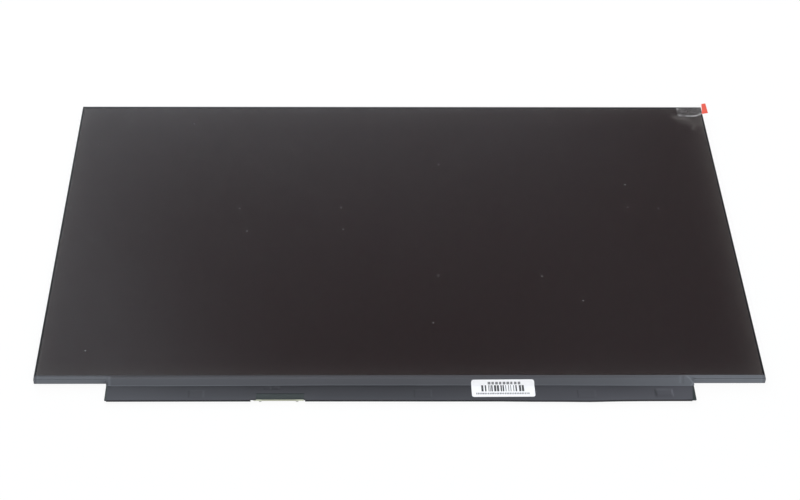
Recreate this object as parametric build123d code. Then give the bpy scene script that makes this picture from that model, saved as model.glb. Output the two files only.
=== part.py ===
from build123d import *
import os
from dataclasses import dataclass
from math import asin, degrees, hypot

# Laptop screen panel: a bare liquid-crystal display module, lying on its back with the screen up.
# The origin is the centre of the module's outline, without its board, on the plane it rests on.
# +X is the picture's right, +Y its top and +Z points out of the screen. All sizes are millimetres.

# Picture and the borders around it
picture_width = 344.16
picture_height = 193.59
side_border = 3.25
top_border = 3.00
bottom_border = 7.01

# Layers, from the rear to the front
emboss_depth = 0.20
plate_thickness = 0.30
reflector_thickness = 0.20
guide_thickness = 1.20
diffuser_thickness = 0.10
prism_thickness = 0.12
sheet_headroom = 0.06
ledge_thickness = 0.30
rim_tape_thickness = 0.05
glass_thickness = 0.30
cell_gap = 0.02
rear_polariser_thickness = 0.12
front_polariser_thickness = 0.13
film_thickness = 0.06

# Fits
fit_clearance = 0.05
glass_clearance = 0.12
sheet_clearance = 0.25

# Back plate
plate_wall_height = 1.30
corner_relief = 1.20
emboss_inset = 9.00
emboss_corner = 6.00
emboss_chamfer = 0.12
groove_inset = 16.00
groove_width = 4.00
groove_corner = 8.00
label_pocket_margin = 3.00

# Moulded frame
frame_web = 0.90
frame_bottom_web = 1.20
frame_rim = 0.50
ledge_margin = 0.60
rim_end_gap = 0.50

# Liquid-crystal cell
array_ledge = 1.30
seal_inset = 0.30
seal_width = 1.00
rear_polariser_margin = 0.30
rim_tape_setback = 0.20
polariser_bottom_gap = 0.20

# Backlight
led_count = 42
led_width = 3.00
led_depth = 0.80
led_height = 0.60
strip_under_guide = 1.50
sheet_setback = 0.20
ear_width = 8.00
ear_depth = 0.60
ear_spacing = 110.00
tail_width = 6.00
tail_clearance = 0.30
tail_headroom = 0.10

# Tapes around the edge
edge_tape_thickness = 0.06
edge_tape_side_lap = 1.00
edge_tape_top_lap = 1.80
edge_tape_rear_lap = 5.00
edge_tape_gap = 0.10
cover_tape_thickness = 0.08
cover_tape_gap = 0.10
cover_tape_rear_lap = 1.50

# Driver films and their chips
driver_count = 4
driver_film_width = 40.00
driver_film_thickness = 0.08
driver_film_bond_gap = 0.30
driver_film_straight = 0.20
driver_film_landing = 0.60
driver_film_bond = 1.00
driver_chip_width = 24.00
driver_chip_depth = 0.90
driver_chip_height = 0.30

# Control board and the film on it
board_end_inset = 34.85
board_gap = 1.00
board_depth = 10.85
board_thickness = 0.45
board_corner = 0.40
board_lift = 0.10
tooling_hole = 1.60
tooling_hole_inset = 4.00
board_film_thickness = 0.08
board_film_left_inset = 0.90
board_film_right_inset = 1.20
recess_left = 13.30
recess_right = 12.60
recess_depth = 0.85
notch_left = 10.80
notch_right = 12.00
notch_depth = 4.00

# Display connector on the board's rear
connector_shift = 2.21
connector_width = 24.00
connector_depth = 3.90
connector_height = 1.05
connector_shell_thickness = 0.15
mouth_width = 16.40
mouth_height = 0.50
mouth_depth = 2.40
contact_count = 30
contact_pitch = 0.50
contact_width = 0.20
contact_thickness = 0.15
contact_setback = 0.50
contact_foot = 0.60
arm_spacing = 17.50
arm_width = 1.20
arm_reach = 0.50

# Other pieces on the board's rear
station_count = 14
part_spacing = 1.50
timing_controller_side = 7.00
timing_controller_height = 0.80
memory_chip_width = 3.00
memory_chip_depth = 4.00
memory_chip_height = 0.60
power_chip_side = 4.00
power_chip_height = 0.75
inductor_side = 4.00
inductor_height = 0.80
inductor_corner = 0.60
capacitor_size = (1.00, 0.50, 0.50)
resistor_size = (0.60, 0.30, 0.25)
row_count = 7
row_pitch = 2.00
row_gap = 4.00
socket_side_wall = 1.00
socket_floor = 0.20
socket_slot_depth = 2.00
socket_back_wall = 1.00
socket_slot_clearance = 0.05
socket_setback = 1.80
ground_tape_width = 12.00
ground_tape_thickness = 0.08
ground_tape_lap = 3.50
ground_tape_overrun = 0.20
ground_tape_landing = 0.70
ground_tape_bond = 5.00

# Labels
front_label_x = 48.90
front_label_width = 30.20
front_label_height = 9.75
front_label_drop = 0.65
front_label_ease = 1.00
rear_label_x = -70.00
rear_label_y = 30.00
rear_label_width = 64.00
rear_label_height = 20.00
label_thickness = 0.08

# Pull tab at the top right corner of the film
tab_width = 7.40
tab_top_gap = 0.20
tab_length = 14.30
tab_flat = 7.00
tab_radius = 25.00
tab_thickness = 0.06
grip_reach = 2.30
grip_thickness = 0.12


@dataclass
class Outline:
    """A rectangle seen from the front, given by its four sides."""

    left: float
    right: float
    bottom: float
    top: float

    def inset(self, sides, bottom=None, top=None):
        """The outline moved inwards, by its own amount at the bottom and the top if given."""
        low = sides if bottom is None else bottom
        high = sides if top is None else top
        return Outline(self.left + sides, self.right - sides, self.bottom + low, self.top - high)

    def sketch(self, corner=0.0):
        """The rectangle as a flat face, with rounded corners if asked."""
        width = self.right - self.left
        height = self.top - self.bottom
        face = RectangleRounded(width, height, corner) if corner else Rectangle(width, height)
        return Pos((self.left + self.right) / 2, (self.bottom + self.top) / 2) * face


def slab(area, low, high, corner=0.0):
    """Fills an outline between two heights."""
    return Pos(0, 0, low) * extrude(area.sketch(corner), high - low)


def ring(outer, inner, low, high):
    """Fills the space between two outlines, between two heights."""
    return slab(outer, low, high) - slab(inner, low, high)


def around(x, y, width, height):
    """Outline of a given size about a point."""
    return Outline(x - width / 2, x + width / 2, y - height / 2, y + height / 2)


def beside(path, distance):
    """The path moved sideways, to its right hand as it runs, with mitred corners."""
    normals = []
    for (a, b), (c, d) in zip(path, path[1:]):
        length = hypot(c - a, d - b)
        normals.append(((d - b) / length, (a - c) / length))
    moved = []
    for index, (a, b) in enumerate(path):
        m, n = normals[max(index - 1, 0)]
        p, q = normals[min(index, len(normals) - 1)]
        scale = distance / (1 + m * p + n * q)
        moved.append((a + (m + p) * scale, b + (n + q) * scale))
    return moved


def strip(path, thickness, start, end, plane=Plane.YZ):
    """Sheet that follows a path, thickened to the path's right hand and as wide as start to end."""
    points = path + beside(path, thickness)[::-1]
    section = plane * make_face(Polyline(*points, close=True))
    along = Vector(1, 0, 0) if plane == Plane.YZ else Vector(0, 1, 0)
    return Pos(*(along * start)) * extrude(section, end - start, dir=along)


def height_at(path, y):
    """Height of a path where it passes a given Y."""
    for (a, b), (c, d) in zip(path, path[1:]):
        if c <= y <= a:
            return b + (d - b) * (y - a) / (c - a)
    return path[-1][1]


# Heights of the layers
plate_rear = emboss_depth
plate_floor = plate_rear + plate_thickness
plate_rim = plate_rear + plate_wall_height
reflector_top = plate_floor + reflector_thickness
guide_top = reflector_top + guide_thickness
lower_diffuser_top = guide_top + diffuser_thickness
lower_prism_top = lower_diffuser_top + prism_thickness
upper_prism_top = lower_prism_top + prism_thickness
sheets_top = upper_prism_top + diffuser_thickness
ledge_bottom = sheets_top + sheet_headroom
ledge_top = ledge_bottom + ledge_thickness
array_bottom = ledge_top + rim_tape_thickness
array_top = array_bottom + glass_thickness
filter_bottom = array_top + cell_gap
filter_top = filter_bottom + glass_thickness
polariser_top = filter_top + front_polariser_thickness
film_top = polariser_top + film_thickness
tape_seat = array_top + driver_film_thickness
board_rear = board_lift + connector_height
board_top = board_rear + board_thickness
board_film_top = board_top + board_film_thickness

# Outlines seen from the front
picture_centre_y = (bottom_border - top_border) / 2
picture = around(0, picture_centre_y, picture_width, picture_height)
module = picture.inset(-side_border, bottom=-bottom_border, top=-top_border)
shell = module.inset(edge_tape_thickness, bottom=cover_tape_thickness)
plate_inside = shell.inset(plate_thickness)
web_outside = plate_inside.inset(fit_clearance)
web_inside = web_outside.inset(frame_web, bottom=frame_bottom_web)
rim_inside = shell.inset(frame_rim)
ledge_opening = picture.inset(-ledge_margin)
array_area = rim_inside.inset(glass_clearance)
filter_area = array_area.inset(0, bottom=array_ledge)
polariser_area = Outline(
    module.left + edge_tape_side_lap + edge_tape_gap,
    module.right - edge_tape_side_lap - edge_tape_gap,
    filter_area.bottom + polariser_bottom_gap,
    module.top - edge_tape_top_lap - edge_tape_gap,
)
strip_back = web_inside.bottom + fit_clearance
led_front = strip_back + led_depth
guide_area = web_inside.inset(sheet_clearance)
guide_area.bottom = led_front + fit_clearance
sheet_area = guide_area.inset(0, bottom=sheet_setback)
strip_front = guide_area.bottom + strip_under_guide
board_area = Outline(
    module.left + board_end_inset,
    module.right - board_end_inset,
    module.bottom - board_gap - board_depth,
    module.bottom - board_gap,
)
board_middle = (board_area.bottom + board_area.top) / 2
board_width = board_area.right - board_area.left

# Course of the driver films, from the array glass down to the board, and of the tape on them
landing = board_area.top - driver_film_landing
driver_course = [
    (filter_area.bottom - driver_film_bond_gap, array_top),
    (array_area.bottom - driver_film_straight, array_top),
    (landing, board_top),
    (landing - driver_film_bond, board_top),
]
tape_course = beside(driver_course, driver_film_thickness)
tape_course[0] = (filter_area.bottom - cover_tape_gap, tape_seat)
tape_course[-1] = (tape_course[-1][0] - fit_clearance, tape_course[-1][1])
tape_face = beside(tape_course, cover_tape_thickness)
tape_end = tape_course[-1][0]
board_film_area = Outline(
    board_area.left + board_film_left_inset,
    board_area.right - board_film_right_inset,
    board_area.bottom - board_film_thickness,
    tape_end - fit_clearance,
)


def station(index):
    """X of one of the evenly spaced places along the board."""
    return board_area.left + (index + 0.5) * board_width / station_count


def chain(middle, widths):
    """X of each piece in a row of pieces that stand side by side about a middle."""
    total = sum(widths) + part_spacing * (len(widths) - 1)
    places = []
    edge = middle - total / 2
    for width in widths:
        places.append(edge + width / 2)
        edge += width + part_spacing
    return places


left_ground_x = station(1)
right_ground_x = station(9)
tail_x = station(12)
connector_x = (station(3) + station(4)) / 2 + connector_shift
memory_chip_x, timing_controller_x = chain(station(5), [memory_chip_width, timing_controller_side])
power_chip_x, inductor_1_x, inductor_2_x = chain(station(7), [power_chip_side] + [inductor_side] * 2)
backlight_driver_x, inductor_3_x = chain(station(11), [power_chip_side, inductor_side])
capacitor_stations = (0, 2, 6, 8, 10, 13)


# Back plate and moulded frame
def ear_places(width, reach):
    """Outlines of the sheets' ears, two on each side, to a reach past the web's inner face."""
    middle = (sheet_area.bottom + sheet_area.top) / 2
    places = []
    for y in (middle - ear_spacing / 2, middle + ear_spacing / 2):
        low, high = y - width / 2, y + width / 2
        places.append(Outline(web_inside.left - reach, sheet_area.left, low, high))
        places.append(Outline(sheet_area.right, web_inside.right + reach, low, high))
    return places


def tail_slot(high):
    """Space that the LED strip's tail needs where it leaves through the bottom wall."""
    area = Outline(
        tail_x - tail_width / 2 - tail_clearance,
        tail_x + tail_width / 2 + tail_clearance,
        module.bottom,
        web_inside.bottom,
    )
    return slab(area, plate_floor, high)


def raised_field(step):
    """The plate's raised field with its groove and label pocket, drawn smaller by a step."""
    field = shell.inset(emboss_inset)
    groove = field.inset(groove_inset)
    pocket = around(
        rear_label_x,
        rear_label_y,
        rear_label_width + 2 * label_pocket_margin,
        rear_label_height + 2 * label_pocket_margin,
    )
    face = field.inset(step).sketch(emboss_corner - step)
    face -= groove.inset(-step).sketch(groove_corner + step)
    face += groove.inset(groove_width + step).sketch(groove_corner - groove_width - step)
    return face - pocket.inset(-step).sketch(label_pocket_margin)


def back_plate():
    """Tray pressed from sheet: base, four walls and a field pressed out to the rear."""
    tray = slab(shell, plate_rear, plate_rim) - slab(plate_inside, plate_floor, plate_rim)
    for x in (shell.left, shell.right):
        for y in (shell.bottom, shell.top):
            tray -= slab(around(x, y, 2 * corner_relief, 2 * corner_relief), plate_floor, plate_rim)
    field = extrude(raised_field(0), plate_floor)
    field = chamfer(field.faces().sort_by(Axis.Z)[0].edges(), emboss_chamfer)
    dish = Pos(0, 0, plate_thickness) * extrude(raised_field(plate_thickness), plate_rear)
    return tray + field - dish - tail_slot(reflector_top + tail_headroom)


def mould_frame():
    """Frame of black plastic: web inside the plate, ledge under the cell and a rim around it."""
    collar = plate_rim + fit_clearance
    frame = ring(web_outside, web_inside, plate_floor, collar)
    frame += ring(shell, web_inside, collar, ledge_bottom)
    frame += ring(shell, ledge_opening, ledge_bottom, ledge_top)
    rim = ring(shell, rim_inside, ledge_top, filter_top)
    below_filter = Outline(shell.left, shell.right, shell.bottom, filter_area.bottom)
    rim -= slab(below_filter, tape_seat, filter_top)
    driver_way = board_area.inset(-rim_end_gap)
    driver_way.bottom, driver_way.top = shell.bottom, rim_inside.bottom
    rim -= slab(driver_way, ledge_top, tape_seat)
    recesses = ear_places(ear_width + 2 * sheet_clearance, ear_depth)
    frame -= [slab(recess, guide_top, ledge_bottom) for recess in recesses]
    return frame + rim - tail_slot(reflector_top + tail_headroom)


# Backlight
def led_strip():
    """Flexible strip that carries the LEDs, with the tail that runs out to the board."""
    body = Outline(guide_area.left, guide_area.right, strip_back, strip_front)
    tail = Outline(tail_x - tail_width / 2, tail_x + tail_width / 2, socket_slot_end(), strip_back)
    return slab(body, plate_floor, reflector_top) + slab(tail, plate_floor, reflector_top)


def leds():
    """Row of LEDs that shine into the lower edge of the light guide."""
    pitch = picture_width / led_count
    row = []
    for index in range(led_count):
        x = (index - (led_count - 1) / 2) * pitch
        area = Outline(x - led_width / 2, x + led_width / 2, strip_back, led_front)
        row.append(slab(area, reflector_top, reflector_top + led_height))
    return Compound(children=row)


def optical_sheet(low, high):
    """Sheet over the light guide, with ears that locate it in the frame."""
    ears = ear_places(ear_width, ear_depth - sheet_clearance)
    return slab(sheet_area, low, high) + [slab(ear, low, high) for ear in ears]


def reflector():
    """White sheet under the light guide, up to the LED strip."""
    area = Outline(guide_area.left, guide_area.right, strip_front + fit_clearance, guide_area.top)
    return slab(area, plate_floor, reflector_top)


# Liquid-crystal cell
def cell_seal():
    """Frame of sealant that closes the cell between the two glasses."""
    outside = filter_area.inset(seal_inset)
    return ring(outside, outside.inset(seal_width), array_top, filter_bottom)


def rim_tape():
    """Double-sided tape that holds the cell on the frame's ledge."""
    return ring(array_area, ledge_opening.inset(-rim_tape_setback), ledge_top, array_bottom)


def rear_polariser():
    """Polariser on the rear of the array glass, inside the ledge."""
    area = picture.inset(-rear_polariser_margin)
    return slab(area, array_bottom - rear_polariser_thickness, array_bottom)


# Tapes around the edge
def side_tape():
    """Right edge tape, folded over the front, the side and the rear."""
    course = [
        (shell.right - edge_tape_rear_lap, plate_rear),
        (shell.right, plate_rear),
        (shell.right, filter_top),
        (module.right - edge_tape_side_lap, filter_top),
    ]
    tape = strip(course, edge_tape_thickness, shell.bottom, module.top, Plane.XZ)
    corner = Outline(0, module.right, shell.bottom, filter_area.bottom)
    tape -= slab(corner, tape_seat, polariser_top)
    rear_corner = Outline(0, module.right, shell.bottom, shell.bottom + cover_tape_rear_lap + fit_clearance)
    tape -= slab(rear_corner, 0, plate_rear)
    front_top = Outline(0, shell.right, module.top - edge_tape_top_lap, module.top)
    tape -= slab(front_top, tape_seat, polariser_top)
    rear_top = Outline(0, shell.right, shell.top - edge_tape_rear_lap, module.top)
    return tape - slab(rear_top, 0, plate_rear)


def top_tape():
    """Top edge tape, folded over the front, the top side and the rear."""
    course = [
        (shell.top - edge_tape_rear_lap, plate_rear),
        (shell.top, plate_rear),
        (shell.top, filter_top),
        (module.top - edge_tape_top_lap, filter_top),
    ]
    return strip(course, edge_tape_thickness, shell.left, shell.right)


def bottom_cover_tape():
    """Grey tape over the driver films, folded down around the bottom edge beyond the board."""
    tape = strip(tape_course, cover_tape_thickness, board_area.left, board_area.right)
    fold = [
        tape_course[0],
        (shell.bottom, tape_seat),
        (shell.bottom, plate_rear),
        (shell.bottom + cover_tape_rear_lap, plate_rear),
    ]
    tape += strip(fold, cover_tape_thickness, module.left, board_area.left)
    return tape + strip(fold, cover_tape_thickness, board_area.right, module.right)


# Driver films
def driver_x(index):
    """X of the middle of one driver film."""
    return board_area.left + (index + 0.5) * board_width / driver_count


def driver_film(index):
    """Flexible film from the array glass to the board."""
    x = driver_x(index)
    half = driver_film_width / 2
    return strip(driver_course, driver_film_thickness, x - half, x + half)


def driver_chip(index):
    """Driver chip on the rear of the sloped part of its film."""
    (top_y, top_z), (low_y, low_z) = driver_course[1:3]
    slope = hypot(low_y - top_y, low_z - top_z)
    away = ((low_y - top_y) / slope, (low_z - top_z) / slope)
    centre = ((top_y + low_y) / 2, (top_z + low_z) / 2)
    half = driver_chip_depth / 2
    seat = [
        (centre[0] + away[0] * half, centre[1] + away[1] * half),
        (centre[0] - away[0] * half, centre[1] - away[1] * half),
    ]
    x = driver_x(index)
    return strip(seat, driver_chip_height, x - driver_chip_width / 2, x + driver_chip_width / 2)


# Control board
def connector_recess(reach):
    """Outline of the step in the board's outer edge that leaves room for the plug, drawn out by a reach."""
    return Outline(
        connector_x - recess_left,
        connector_x + recess_right,
        board_area.bottom - reach,
        board_area.bottom + recess_depth,
    )


def control_board():
    """Printed circuit board that hangs below the module on the driver films."""
    board = slab(board_area, board_rear, board_top, board_corner)
    board -= slab(connector_recess(0), board_rear, board_top)
    drill = Cylinder(tooling_hole / 2, board_thickness)
    for x in (board_area.left + tooling_hole_inset, board_area.right - tooling_hole_inset):
        board -= Pos(x, board_middle, (board_rear + board_top) / 2) * drill
    return board


def board_cover_film():
    """Dark film on the front of the board, folded over its outer edge and open above the connector."""
    film = slab(board_film_area, board_top, board_film_top)
    lip = Outline(board_film_area.left, board_film_area.right, board_film_area.bottom, board_area.bottom)
    film += slab(lip, board_rear, board_top)
    window = Outline(
        connector_x - notch_left,
        connector_x + notch_right,
        board_film_area.bottom,
        board_area.bottom + notch_depth,
    )
    for area in (window, connector_recess(board_film_thickness)):
        film -= slab(area, board_rear, board_film_top)
    return film


def under_board(x, y, width, depth, height):
    """Block soldered to the rear of the board."""
    return slab(around(x, y, width, depth), board_rear - height, board_rear)


# Display connector
connector_front = board_area.bottom + recess_depth
connector_back = connector_front + connector_depth
shell_inside = board_lift + connector_shell_thickness
mouth_middle = (shell_inside + board_rear) / 2
mouth_top = mouth_middle + mouth_height / 2
mouth_end = connector_front + mouth_depth


def connector_contacts():
    """Row of spring contacts along the top of the mouth, with feet on the board."""
    low = mouth_top - contact_thickness
    course = [
        (connector_front + contact_setback, low),
        (connector_back + contact_thickness, low),
        (connector_back + contact_thickness, board_rear - contact_thickness),
        (connector_back + contact_foot, board_rear - contact_thickness),
    ]
    row = []
    for index in range(contact_count):
        x = connector_x + (index - (contact_count - 1) / 2) * contact_pitch
        row.append(strip(course[::-1], contact_thickness, x - contact_width / 2, x + contact_width / 2))
    return Compound(children=row)


def connector_housing():
    """Plastic body of the connector, open towards the board's outer edge."""
    half = connector_width / 2 - connector_shell_thickness
    body = Outline(connector_x - half, connector_x + half, connector_front, connector_back)
    mouth = Outline(
        connector_x - mouth_width / 2, connector_x + mouth_width / 2, connector_front, mouth_end
    )
    housing = slab(body, shell_inside, board_rear) - slab(mouth, mouth_top - mouth_height, mouth_top)
    return housing - connector_contacts().solids()


def connector_shell():
    """Sheet metal shell around the housing, with two arms past the board's edge."""
    half = connector_width / 2
    outside = Outline(connector_x - half, connector_x + half, connector_front, connector_back)
    inside = outside.inset(connector_shell_thickness, bottom=0, top=0)
    cover = slab(outside, board_lift, board_rear) - slab(inside, shell_inside, board_rear)
    for x in (connector_x - arm_spacing / 2, connector_x + arm_spacing / 2):
        arm = around(x, connector_front - arm_reach / 2, arm_width, arm_reach)
        cover += slab(arm, board_lift, shell_inside)
    return cover


# Other pieces on the board's rear
def socket_mouth():
    """Y of the open end of the backlight socket."""
    return board_area.top - socket_setback


def socket_slot_end():
    """Y where the tail stops inside the backlight socket."""
    return socket_mouth() - socket_slot_depth


def backlight_socket():
    """Socket that takes the tail of the LED strip."""
    slot_half = tail_width / 2 + socket_slot_clearance
    half = slot_half + socket_side_wall
    bottom = plate_floor - socket_slot_clearance
    body = Outline(tail_x - half, tail_x + half, socket_slot_end() - socket_back_wall, socket_mouth())
    slot = Outline(tail_x - slot_half, tail_x + slot_half, socket_slot_end(), socket_mouth())
    hollow = slab(slot, bottom, reflector_top + socket_slot_clearance)
    return slab(body, bottom - socket_floor, board_rear) - hollow


def inductor(x):
    """Moulded power inductor with rounded upright edges."""
    area = around(x, board_middle, inductor_side, inductor_side)
    return slab(area, board_rear - inductor_height, board_rear, inductor_corner)


def small_parts(size, rows):
    """Rows of small chip parts along the board, at the same places in each row."""
    pieces = []
    for place in capacitor_stations:
        for index in range(row_count):
            x = station(place) + (index - (row_count - 1) / 2) * row_pitch
            pieces += [under_board(x, board_middle + row, *size) for row in rows]
    return Compound(children=pieces)


def ground_tape(x):
    """Conductive tape from the rear of the plate to the rear of the board."""
    landing_y = board_area.top - ground_tape_landing
    course = [
        (landing_y - ground_tape_bond, board_rear),
        (landing_y, board_rear),
        (module.bottom - ground_tape_overrun, plate_rear),
        (shell.bottom + ground_tape_lap, plate_rear),
    ]
    return strip(course, ground_tape_thickness, x - ground_tape_width / 2, x + ground_tape_width / 2)


# Labels and pull tab
def front_label():
    """Paper label that lies on the sloped tape and steps down to the board's film."""
    start = tape_face[1][0] - front_label_drop
    low = start - front_label_height
    course = [
        (start, height_at(tape_face, start)),
        tape_face[2],
        tape_face[3],
        (tape_face[3][0] - front_label_ease, board_film_top),
        (low, board_film_top),
    ]
    half = front_label_width / 2
    return strip(course, label_thickness, front_label_x - half, front_label_x + half)


def rear_label():
    """Bare paper label in the plate's pocket."""
    area = around(rear_label_x, rear_label_y, rear_label_width, rear_label_height)
    return slab(area, plate_rear - label_thickness, plate_rear)


tab_start = module.right - tab_length
tab_bend = tab_start + tab_flat
tab_top = module.top - tab_top_gap
tab_bottom = tab_top - tab_width


def curl(start, end, thickness):
    """Stretch of the tab that curls up off the film, from one X to another."""
    first = degrees(asin((start - tab_bend) / tab_radius))
    turn = degrees(asin((end - tab_bend) / tab_radius)) - first
    centre = (tab_bend, film_top + tab_radius)
    outside = CenterArc(centre, tab_radius, first - 90, turn)
    inside = CenterArc(centre, tab_radius - thickness, first - 90, turn)
    sides = [Line(outside @ end_at, inside @ end_at) for end_at in (0, 1)]
    section = Plane.XZ * make_face([outside, inside] + sides)
    return Pos(0, tab_bottom, 0) * extrude(section, tab_width, dir=(0, 1, 0))


def pull_tab_tape():
    """Clear tape stuck to the protective film."""
    flat = Outline(tab_start, tab_bend, tab_bottom, tab_top)
    return slab(flat, film_top, film_top + tab_thickness) + curl(tab_bend, module.right, tab_thickness)


def pull_tab_grip():
    """Coloured end of the tab, past the module's edge."""
    return curl(module.right, module.right + grip_reach, grip_thickness)


pieces = {
    "back_plate": back_plate(),
    "mould_frame": mould_frame(),
    "reflector": reflector(),
    "led_strip": led_strip(),
    "leds": leds(),
    "light_guide": slab(guide_area, reflector_top, guide_top),
    "lower_diffuser": optical_sheet(guide_top, lower_diffuser_top),
    "lower_prism_sheet": optical_sheet(lower_diffuser_top, lower_prism_top),
    "upper_prism_sheet": optical_sheet(lower_prism_top, upper_prism_top),
    "top_diffuser": optical_sheet(upper_prism_top, sheets_top),
    "rim_tape": rim_tape(),
    "rear_polariser": rear_polariser(),
    "array_glass": slab(array_area, array_bottom, array_top),
    "cell_seal": cell_seal(),
    "colour_filter_glass": slab(filter_area, filter_bottom, filter_top),
    "front_polariser": slab(polariser_area, filter_top, polariser_top),
    "protective_film": slab(polariser_area, polariser_top, film_top),
    "right_edge_tape": side_tape(),
    "left_edge_tape": mirror(side_tape(), about=Plane.YZ),
    "top_edge_tape": top_tape(),
    "bottom_cover_tape": bottom_cover_tape(),
    "control_board": control_board(),
    "board_cover_film": board_cover_film(),
    "connector_housing": connector_housing(),
    "connector_shell": connector_shell(),
    "connector_contacts": connector_contacts(),
    "backlight_socket": backlight_socket(),
    "timing_controller": under_board(
        timing_controller_x,
        board_middle,
        timing_controller_side,
        timing_controller_side,
        timing_controller_height,
    ),
    "memory_chip": under_board(
        memory_chip_x, board_middle, memory_chip_width, memory_chip_depth, memory_chip_height
    ),
    "power_chip": under_board(
        power_chip_x, board_middle, power_chip_side, power_chip_side, power_chip_height
    ),
    "backlight_driver": under_board(
        backlight_driver_x, board_middle, power_chip_side, power_chip_side, power_chip_height
    ),
    "inductor_1": inductor(inductor_1_x),
    "inductor_2": inductor(inductor_2_x),
    "inductor_3": inductor(inductor_3_x),
    "ceramic_capacitors": small_parts(capacitor_size, (-row_gap / 2, row_gap / 2)),
    "chip_resistors": small_parts(resistor_size, (0,)),
    "left_ground_tape": ground_tape(left_ground_x),
    "right_ground_tape": ground_tape(right_ground_x),
    "front_label": front_label(),
    "rear_label": rear_label(),
    "pull_tab_tape": pull_tab_tape(),
    "pull_tab_grip": pull_tab_grip(),
}
for number in range(driver_count):
    pieces[f"driver_film_{number + 1}"] = driver_film(number)
    pieces[f"driver_chip_{number + 1}"] = driver_chip(number)

os.makedirs("parts", exist_ok=True)
for name, piece in pieces.items():
    export_step(piece, f"parts/{name}.step")
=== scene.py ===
"""Dresses a 15.6-inch laptop screen panel: its film, tapes, labels, board details, finishes and studio."""
import logging
import math
from dataclasses import dataclass
from enum import Enum

import bpy
import numpy as np
from mathutils import Matrix, Vector


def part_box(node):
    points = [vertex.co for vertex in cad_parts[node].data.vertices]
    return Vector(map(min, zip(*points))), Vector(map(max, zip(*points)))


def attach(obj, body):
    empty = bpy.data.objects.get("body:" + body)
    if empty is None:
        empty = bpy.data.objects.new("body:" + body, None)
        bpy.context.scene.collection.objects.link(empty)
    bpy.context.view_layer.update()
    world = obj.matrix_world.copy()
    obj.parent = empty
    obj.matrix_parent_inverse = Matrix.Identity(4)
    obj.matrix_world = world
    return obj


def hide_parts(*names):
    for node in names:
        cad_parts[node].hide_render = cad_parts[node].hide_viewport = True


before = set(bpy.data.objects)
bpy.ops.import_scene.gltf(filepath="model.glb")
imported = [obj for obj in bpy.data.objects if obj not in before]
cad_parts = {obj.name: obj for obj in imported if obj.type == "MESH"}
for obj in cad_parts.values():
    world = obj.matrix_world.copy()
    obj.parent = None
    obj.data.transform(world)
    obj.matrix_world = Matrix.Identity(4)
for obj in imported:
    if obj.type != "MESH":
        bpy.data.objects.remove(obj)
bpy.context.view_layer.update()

MM = 0.001
BODY = "root"
VEIL = "veil"
# The attribute that carries painted light and shade on the grey tape and the board's film.
PAINTED_LIGHT = "painted_light"
SEED = 15
WAVE_RADIANS = 20
LOG = logging.getLogger("screen_panel")

Socket = bpy.types.NodeSocket
Tree = bpy.types.NodeTree
Colour = tuple[float, float, float, float]
Knots = tuple[tuple[float, ...], ...]


class Side(Enum):
    """The panel's two short edges, and the way along X to each."""

    LEFT = -1
    RIGHT = 1


# Places read from the frame


@dataclass(frozen=True)
class Extent:
    """The box of one node in millimetres."""

    left: float
    right: float
    bottom: float
    top: float
    rear: float
    front: float

    @property
    def middle(self) -> np.ndarray:
        """The centre of the box."""
        return np.array([self.left + self.right, self.bottom + self.top, self.rear + self.front]) / 2

    @property
    def size(self) -> np.ndarray:
        """The three sides of the box."""
        return np.array([self.right - self.left, self.top - self.bottom, self.front - self.rear])


def extent(node: str) -> Extent:
    """Gives a node's box.

    Args:
        node: The node's name in the frame.

    Returns:
        Its box in millimetres.
    """
    low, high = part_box(node)
    return Extent(*(value / MM for pair in zip(low, high) for value in pair))


def copies(node: str, count: int) -> tuple[np.ndarray, np.ndarray]:
    """Finds the equal solids of a node that holds a group of them.

    The node's points come solid after solid, with as many points each, so they split into equal runs.

    Args:
        node: The node's name in the frame.
        count: How many solids it holds.

    Returns:
        The centre and the size of each solid, in millimetres, as two arrays of count rows.
    """
    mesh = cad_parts[node].data
    points = np.empty(len(mesh.vertices) * 3, np.float32)
    mesh.vertices.foreach_get("co", points)
    solids = points.reshape(count, -1, 3).astype(float) / MM
    low, high = solids.min(axis=1), solids.max(axis=1)
    return (low + high) / 2, high - low


# Nodes and finishes


def linear(colour: str) -> Colour:
    """Turns an sRGB hex colour into linear light, by the standard's own curve.

    Args:
        colour: The colour as "#RRGGBB".

    Returns:
        Linear red, green and blue, and an alpha of 1.
    """
    parts = np.array([int(colour[start:start + 2], 16) for start in (1, 3, 5)]) / 255
    light = np.where(parts <= 0.04045, parts / 12.92, ((parts + 0.055) / 1.055) ** 2.4)
    return (*light.tolist(), 1.0)


def shade(colour: str, factor: float) -> Colour:
    """Gives a hex colour in linear light, made lighter or darker by a factor."""
    return (*(min(1.0, part * factor) for part in linear(colour)[:3]), 1.0)


def add(tree: Tree, kind: str, inputs: dict | None = None, **settings: object) -> bpy.types.Node:
    """Adds a node with its settings, and sets or links its inputs.

    Args:
        tree: The node tree.
        kind: The node's type name.
        inputs: A value or an output socket for each input, by name or number.
        **settings: Attributes of the node itself.

    Returns:
        The new node.
    """
    made = tree.nodes.new(kind)
    for key, value in settings.items():
        setattr(made, key, value)
    for key, value in (inputs or {}).items():
        if isinstance(value, Socket):
            tree.links.new(value, made.inputs[key])
        else:
            made.inputs[key].default_value = value
    return made


def per_metre(size_mm: float) -> float:
    """Gives the texture scale at which one cell of a pattern is so many millimetres wide."""
    return 1 / (size_mm * MM)


def waves_per_metre(size_mm: float) -> float:
    """Gives the texture scale at which one wave is so many millimetres long."""
    return per_metre(size_mm) * math.tau / WAVE_RADIANS


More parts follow.
